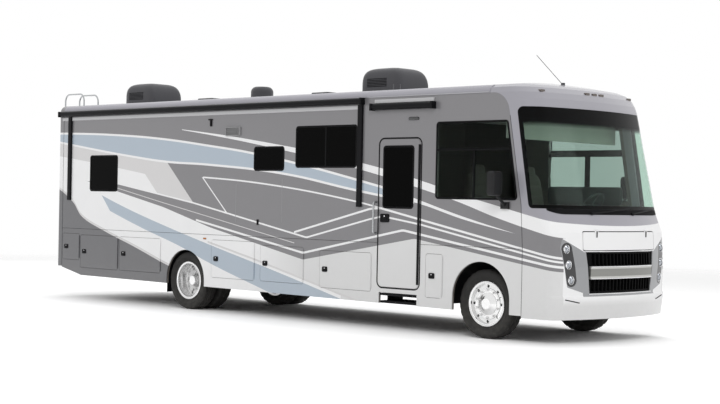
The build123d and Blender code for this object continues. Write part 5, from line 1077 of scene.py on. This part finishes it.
RUNG_TREAD = [(-0.115, 0.0125), (-0.11, 0.0145), (0.11, 0.0145), (0.115, 0.0125)]
STEP_RIBS, STEP_RIB_HEIGHTS = (0.03, 0.22), (0.5108, 0.5135)


def make_rear_trim():
    """Tail lamp bezels and ribs, blank plate, ladder feet and treads."""
    bezels, ribs = Pile(), Pile()
    for side in (RIGHT, LEFT):
        for across, z, wide, tall in TAIL_LAMPS:
            y = side * across
            bezels.rear(centred(y, z, wide, tall), 0.02, TAIL_BEZEL, closed=True)
            count = max(int(tall * RIBS_PER_METRE), FEWEST_RIBS)
            for height in spread_between(z - tall + 0.02, z + tall - 0.02, count):
                ribs.box((REAR_X - 0.0105, y - wide + 0.012, height - 0.002),
                         (REAR_X - 0.0075, y + wide - 0.012, height + 0.002))
    bezels.lay("tail_lamp_bezels", "bright_trim")
    ribs.lay("tail_lamp_ribs", "lamp_red")

    holder, plate = Pile(), Pile()
    holder.rear(PLATE_OUTLINE, PLATE_RADIUS, PLATE_HOLDER)
    holder.rear(PLATE_LAMP_OUTLINE, 0.008, PLATE_LAMP)
    plate.rear(PLATE_OUTLINE, PLATE_RADIUS, PLATE_FACE)
    holder.lay("plate_holder", "black_plastic")
    plate.lay("blank_plate", "plate_blank", "grey_plastic")

    feet, treads = Pile(), Pile()
    for y in LADDER_RAILS:
        for z in LADDER_STAYS:
            feet.turned((REAR_X, y, z), (-1, 0, 0), LADDER_FOOT, 24)
    rail_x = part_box("ladder")[0].x + RUNG_INSET
    for rung in range(RUNGS):
        treads.turned((rail_x, LADDER_MIDDLE, RUNG_LOW + RUNG_STEP * rung), (0, 1, 0), RUNG_TREAD, 16)
    feet.lay("ladder_feet", "tube_metal")
    treads.lay("ladder_treads", "seal_rubber", "black_plastic")


def make_step_treads():
    """Non-slip ribs on the folded step."""
    low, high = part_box("entry_step")
    ribs = Pile()
    for y in spread_between(low.y + STEP_RIBS[0], low.y + STEP_RIBS[1], 7):
        ribs.box((low.x + 0.03, y - 0.006, STEP_RIB_HEIGHTS[0]), (high.x - 0.03, y + 0.006, STEP_RIB_HEIGHTS[1]))
    ribs.lay("step_ribs", "tube_metal", bevel=0.001)


# Cab
SEAT_PLACES, SEAT_STATION = ((RIGHT * 0.56, "right"), (LEFT * 0.56, "left")), -0.33
SEAT_STAND = [(0.012, 1.152), (0.010, 1.175), (-0.03, 1.20), (-0.045, 1.40), (0.0, 1.44), (0.06, 1.455), (0.06, 1.478)]
# Pad: middle from the seat's own middle, half size, recline, sewn channels, welts, fill
SEAT_PADS = {
    "seat_cushion": ((0, 0, 1.552), (0.255, 0.252, 0.066), 0, (), (-0.35, 0.35), 0.7),
    "seat_back": ((-0.285, 0, 1.91), (0.062, 0.238, 0.330), -12, (-0.45, 0.0, 0.45), (), 0.7),
    "head_rest": ((-0.355, 0, 2.262), (0.046, 0.135, 0.070), -12, (), (0.0,), 0.8),
    "outer_arm_rest": ((-0.04, -0.222, 1.725), (0.19, 0.030, 0.026), 0, (), (0.0,), 0.8),
    "inner_arm_rest": ((-0.04, 0.222, 1.725), (0.19, 0.030, 0.026), 0, (), (0.0,), 0.8),
}
PAD_ROWS, PAD_COLUMNS, PAD_REACH = 42, 48, 0.997
PAD_CROWN, PAD_CORNER, PAD_WAIST, PAD_SEAM = 0.5, 0.46, 0.045, 0.05
WELT_RISE, CHANNEL_DEPTH = 0.02, 0.12
HOOD_STATION, HOOD_Y = 0.655, 0.56
HOOD_OUTLINE = [(-0.20, 1.640), (0.20, 1.640), (0.20, 1.710), (0.15, 1.740), (-0.15, 1.740), (-0.20, 1.710)]
HOOD_SECTIONS = ((-0.03, 1.0), (0.0, 1.02), (0.14, 0.94), (0.24, 0.75))
SCREEN_STATION, SCREEN_OUTLINE = 0.617, rect(-0.17, 0.17, 1.40, 1.56)
SIDE_PANEL = [(0.0, -0.050), (0.0, -0.072), (-0.02, -0.082), (-0.05, -0.085)]
PELMET_STATIONS, PELMET_HALF, PELMET_HEIGHTS = (0.331, 0.361), 1.215, (2.655, 2.97)


def add_pad(name, middle, half, recline, channels, welts, fill):
    """A stuffed pad: crowned faces, sides drawn in between the corners, sewn channels and raised welts."""
    turn = Matrix.Rotation(radians(recline), 3, "Y")
    rings = []
    for w in spread_between(-PAD_REACH, PAD_REACH, PAD_ROWS):
        across = sqrt(1 - abs(w) ** (2 / PAD_CROWN)) ** PAD_CROWN
        groove = sum(exp(-((w - line) / PAD_SEAM) ** 2) for line in channels)
        swell = 1 + WELT_RISE * sum(exp(-((w - line) / PAD_SEAM) ** 2) for line in welts)
        ring = []
        for column in range(PAD_COLUMNS):
            angle = tau * column / PAD_COLUMNS
            u = across * soft_power(cos(angle), PAD_CORNER) * swell
            v = across * soft_power(sin(angle), PAD_CORNER) * swell
            waist = 1 - PAD_WAIST * (1 - v * v) * (1 - w * w)
            spot = Vector((half[0] * u * waist * (1 - CHANNEL_DEPTH * groove), half[1] * v * waist, half[2] * w))
            ring.append(turn @ spot + Vector(middle))
        rings.append(ring)
    pile = Pile()
    pile.rings(rings)
    return pile.lay(name, "seat_cover", sharp=80, levels=1)


def make_seats():
    """Cab seats: pedestals with stuffed cushions, backs, head rests and arm rests."""
    stands = Pile()
    for y, hand in SEAT_PLACES:
        stands.plan(centred(SEAT_STATION, y, 0.15, 0.14), 0.05, SEAT_STAND)
        for name, (offset, *pad) in SEAT_PADS.items():
            middle = (at(SEAT_STATION) + offset[0], y + offset[1], offset[2])
            add_pad(f"{hand}_{name}", middle, *pad)
    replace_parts(stands.lay("seat_stands", "chassis_black"), "seats")


def make_dash_trim():
    """The panel beside the driver, the instrument hood, the centre screen and the pelmet under the overhead cabinet."""
    panel = Pile()
    panel.side(rect(-0.80, 0.50, 1.80, 2.06), 0.06, SIDE_PANEL, LEFT)
    panel.lay("driver_side_panel", "dash_vinyl", "black_plastic")

    hood = Pile()
    hood.rings([[(at(HOOD_STATION + ahead), HOOD_Y + y * squeeze, z) for y, z in HOOD_OUTLINE]
                for ahead, squeeze in HOOD_SECTIONS])
    hood.lay("instrument_hood", "dash_vinyl", "black_plastic", bevel=0.006)

    screen = Pile()
    screen.outlined(lambda y, z, ahead: (at(SCREEN_STATION + ahead), y, z), SCREEN_OUTLINE, 0.02,
                 [(-0.004 * step, 0.0008 * step) for step in range(-2, 2)], False)
    screen.lay("centre_screen", "smoked_cover", "black_plastic")

    pelmet = Pile()
    (rear, front), (low, high) = PELMET_STATIONS, PELMET_HEIGHTS
    pelmet.box((at(rear), -PELMET_HALF, low), (at(front), PELMET_HALF, high))
    pelmet.lay("cab_pelmet", "cabin_wood", "grey_plastic", bevel=0.006)


make_window_trim()
make_latches()
make_headlamps()
make_front_trim()
make_wheels()
make_side_trim()
make_mirrors()
make_roof_trim()
make_rear_trim()
make_step_treads()
make_seats()
make_dash_trim()


# Studio
FLOOR_RADIUS, FLOOR_FADE = 30.0, (0.25, 0.8)
FLOOR_TONES, FLOOR_SEEN = ((0.80, 0.80, 0.80), (0.84, 0.84, 0.84)), (1.25, 1.25, 1.25)
WORLD_LIGHT = 0.50
# Lamp: place, aim, width, height, power
SOFT_BOXES = {
    "key": ((14, -13, 12), (0, 0, 1.5), 9, 6, 1180),
    "front_fill": ((17, 5, 6), (5, 0, 1.5), 6, 5, 350),
    "roof_light": ((-2, 2, 14), (-1, 0, 2), 14, 6, 900),
    "side_fill": ((-10, -15, 8), (-4.5, -1.3, 1.8), 8, 5, 520),
    "rear_fill": ((-17, 3, 7), (-5, 0, 1.8), 7, 5, 420),
}
PHOTO_WIDTH, PHOTO_HEIGHT = 720, 404
FOCAL_PIXELS, PRINCIPAL, SENSOR = 1507.43, (354.96, 213.18), 36.0
CAMERA_FROM_AXLE = Vector((12.7563, -16.6365, 1.8007))
CAMERA_TURN = (44.513, -0.4861, 1.1341)
VIEW_END = 300


def seen_rays(tree):
    """Rays that see the background straight on, through glass or in a reflection."""
    path = tree.node("ShaderNodeLightPath").outputs
    seen = tree.larger(path["Is Camera Ray"], path["Is Transmission Ray"])
    return tree.larger(seen, path["Is Glossy Ray"])


def make_floor():
    """A pale floor that keeps the coach's shadow and fades into the white surround."""
    bpy.ops.mesh.primitive_circle_add(vertices=128, radius=FLOOR_RADIUS, fill_type="NGON", location=(0, 0, -0.001))
    floor = bpy.context.object
    floor.name = "studio_floor"
    made = bpy.data.materials.new("studio_floor")
    made.use_nodes = True
    made.node_tree.nodes.clear()
    tree = Tree(made.node_tree)
    x, y, z = tree.axes(tree.place())
    away = tree.math("SQRT", tree.plus(tree.times(x, x), tree.times(y, y)))
    fade = tree.spread(away, FLOOR_RADIUS * FLOOR_FADE[0], FLOOR_RADIUS * FLOOR_FADE[1], 0.0, 1.0)
    pale = tree.mix(tree.noise(tree.place(), 3.0), *FLOOR_TONES)
    matte = tree.node("ShaderNodeBsdfDiffuse", {"Color": tree.mix(seen_rays(tree), pale, FLOOR_SEEN)})
    clear = tree.node("ShaderNodeBsdfTransparent")
    mixed = tree.node("ShaderNodeMixShader", {0: fade, 1: matte.outputs[0], 2: clear.outputs[0]})
    tree.node("ShaderNodeOutputMaterial", {"Surface": mixed.outputs[0]})
    floor.data.materials.append(made)


def make_world():
    """A white surround that lights the coach at a plain level."""
    world = bpy.data.worlds.new("studio")
    bpy.context.scene.world = world
    world.use_nodes = True
    world.node_tree.nodes.clear()
    tree = Tree(world.node_tree)
    strength = tree.spread(seen_rays(tree), 0.0, 1.0, WORLD_LIGHT, 1.0)
    sky = tree.node("ShaderNodeBackground", {"Color": (1.0, 1.0, 1.0), "Strength": strength})
    tree.node("ShaderNodeOutputWorld", {"Surface": sky.outputs[0]})


def soft_box(name, place, aim, width, height, power):
    """A large area lamp turned towards a point, kept out of reflections."""
    lamp = bpy.data.lights.new(name, "AREA")
    lamp.shape = "RECTANGLE"
    lamp.size = width
    lamp.size_y = height
    lamp.energy = power
    holder = bpy.data.objects.new(name, lamp)
    holder.location = place
    holder.rotation_euler = (Vector(aim) - Vector(place)).to_track_quat("-Z", "Y").to_euler()
    holder.visible_glossy = False
    bpy.context.scene.collection.objects.link(holder)


def make_camera():
    """The camera at the photograph's place, height and lens."""
    place = Vector((AXLE_X, 0, 0)) + CAMERA_FROM_AXLE
    yaw, pitch, roll = (radians(angle) for angle in CAMERA_TURN)
    ahead = Vector((-sin(yaw) * cos(pitch), cos(yaw) * cos(pitch), sin(pitch)))
    level = Vector((cos(yaw), sin(yaw), 0))
    upright = level.cross(ahead)
    right = cos(roll) * level + sin(roll) * upright
    up = cos(roll) * upright - sin(roll) * level
    lens = bpy.data.cameras.new("photo_camera")
    lens.sensor_width = SENSOR
    lens.lens = FOCAL_PIXELS / PHOTO_WIDTH * SENSOR
    lens.shift_x = (PHOTO_WIDTH / 2 - PRINCIPAL[0]) / PHOTO_WIDTH
    lens.shift_y = (PRINCIPAL[1] - PHOTO_HEIGHT / 2) / PHOTO_WIDTH
    lens.clip_end = VIEW_END
    holder = bpy.data.objects.new("photo_camera", lens)
    turn = Matrix((right, up, -ahead)).transposed()
    holder.matrix_world = Matrix.Translation(place) @ turn.to_4x4()
    bpy.context.scene.collection.objects.link(holder)
    bpy.context.scene.camera = holder


make_floor()
make_world()
for lamp_name, lamp_row in SOFT_BOXES.items():
    soft_box(lamp_name, *lamp_row)
make_camera()
bpy.context.scene.view_settings.view_transform = "Standard"
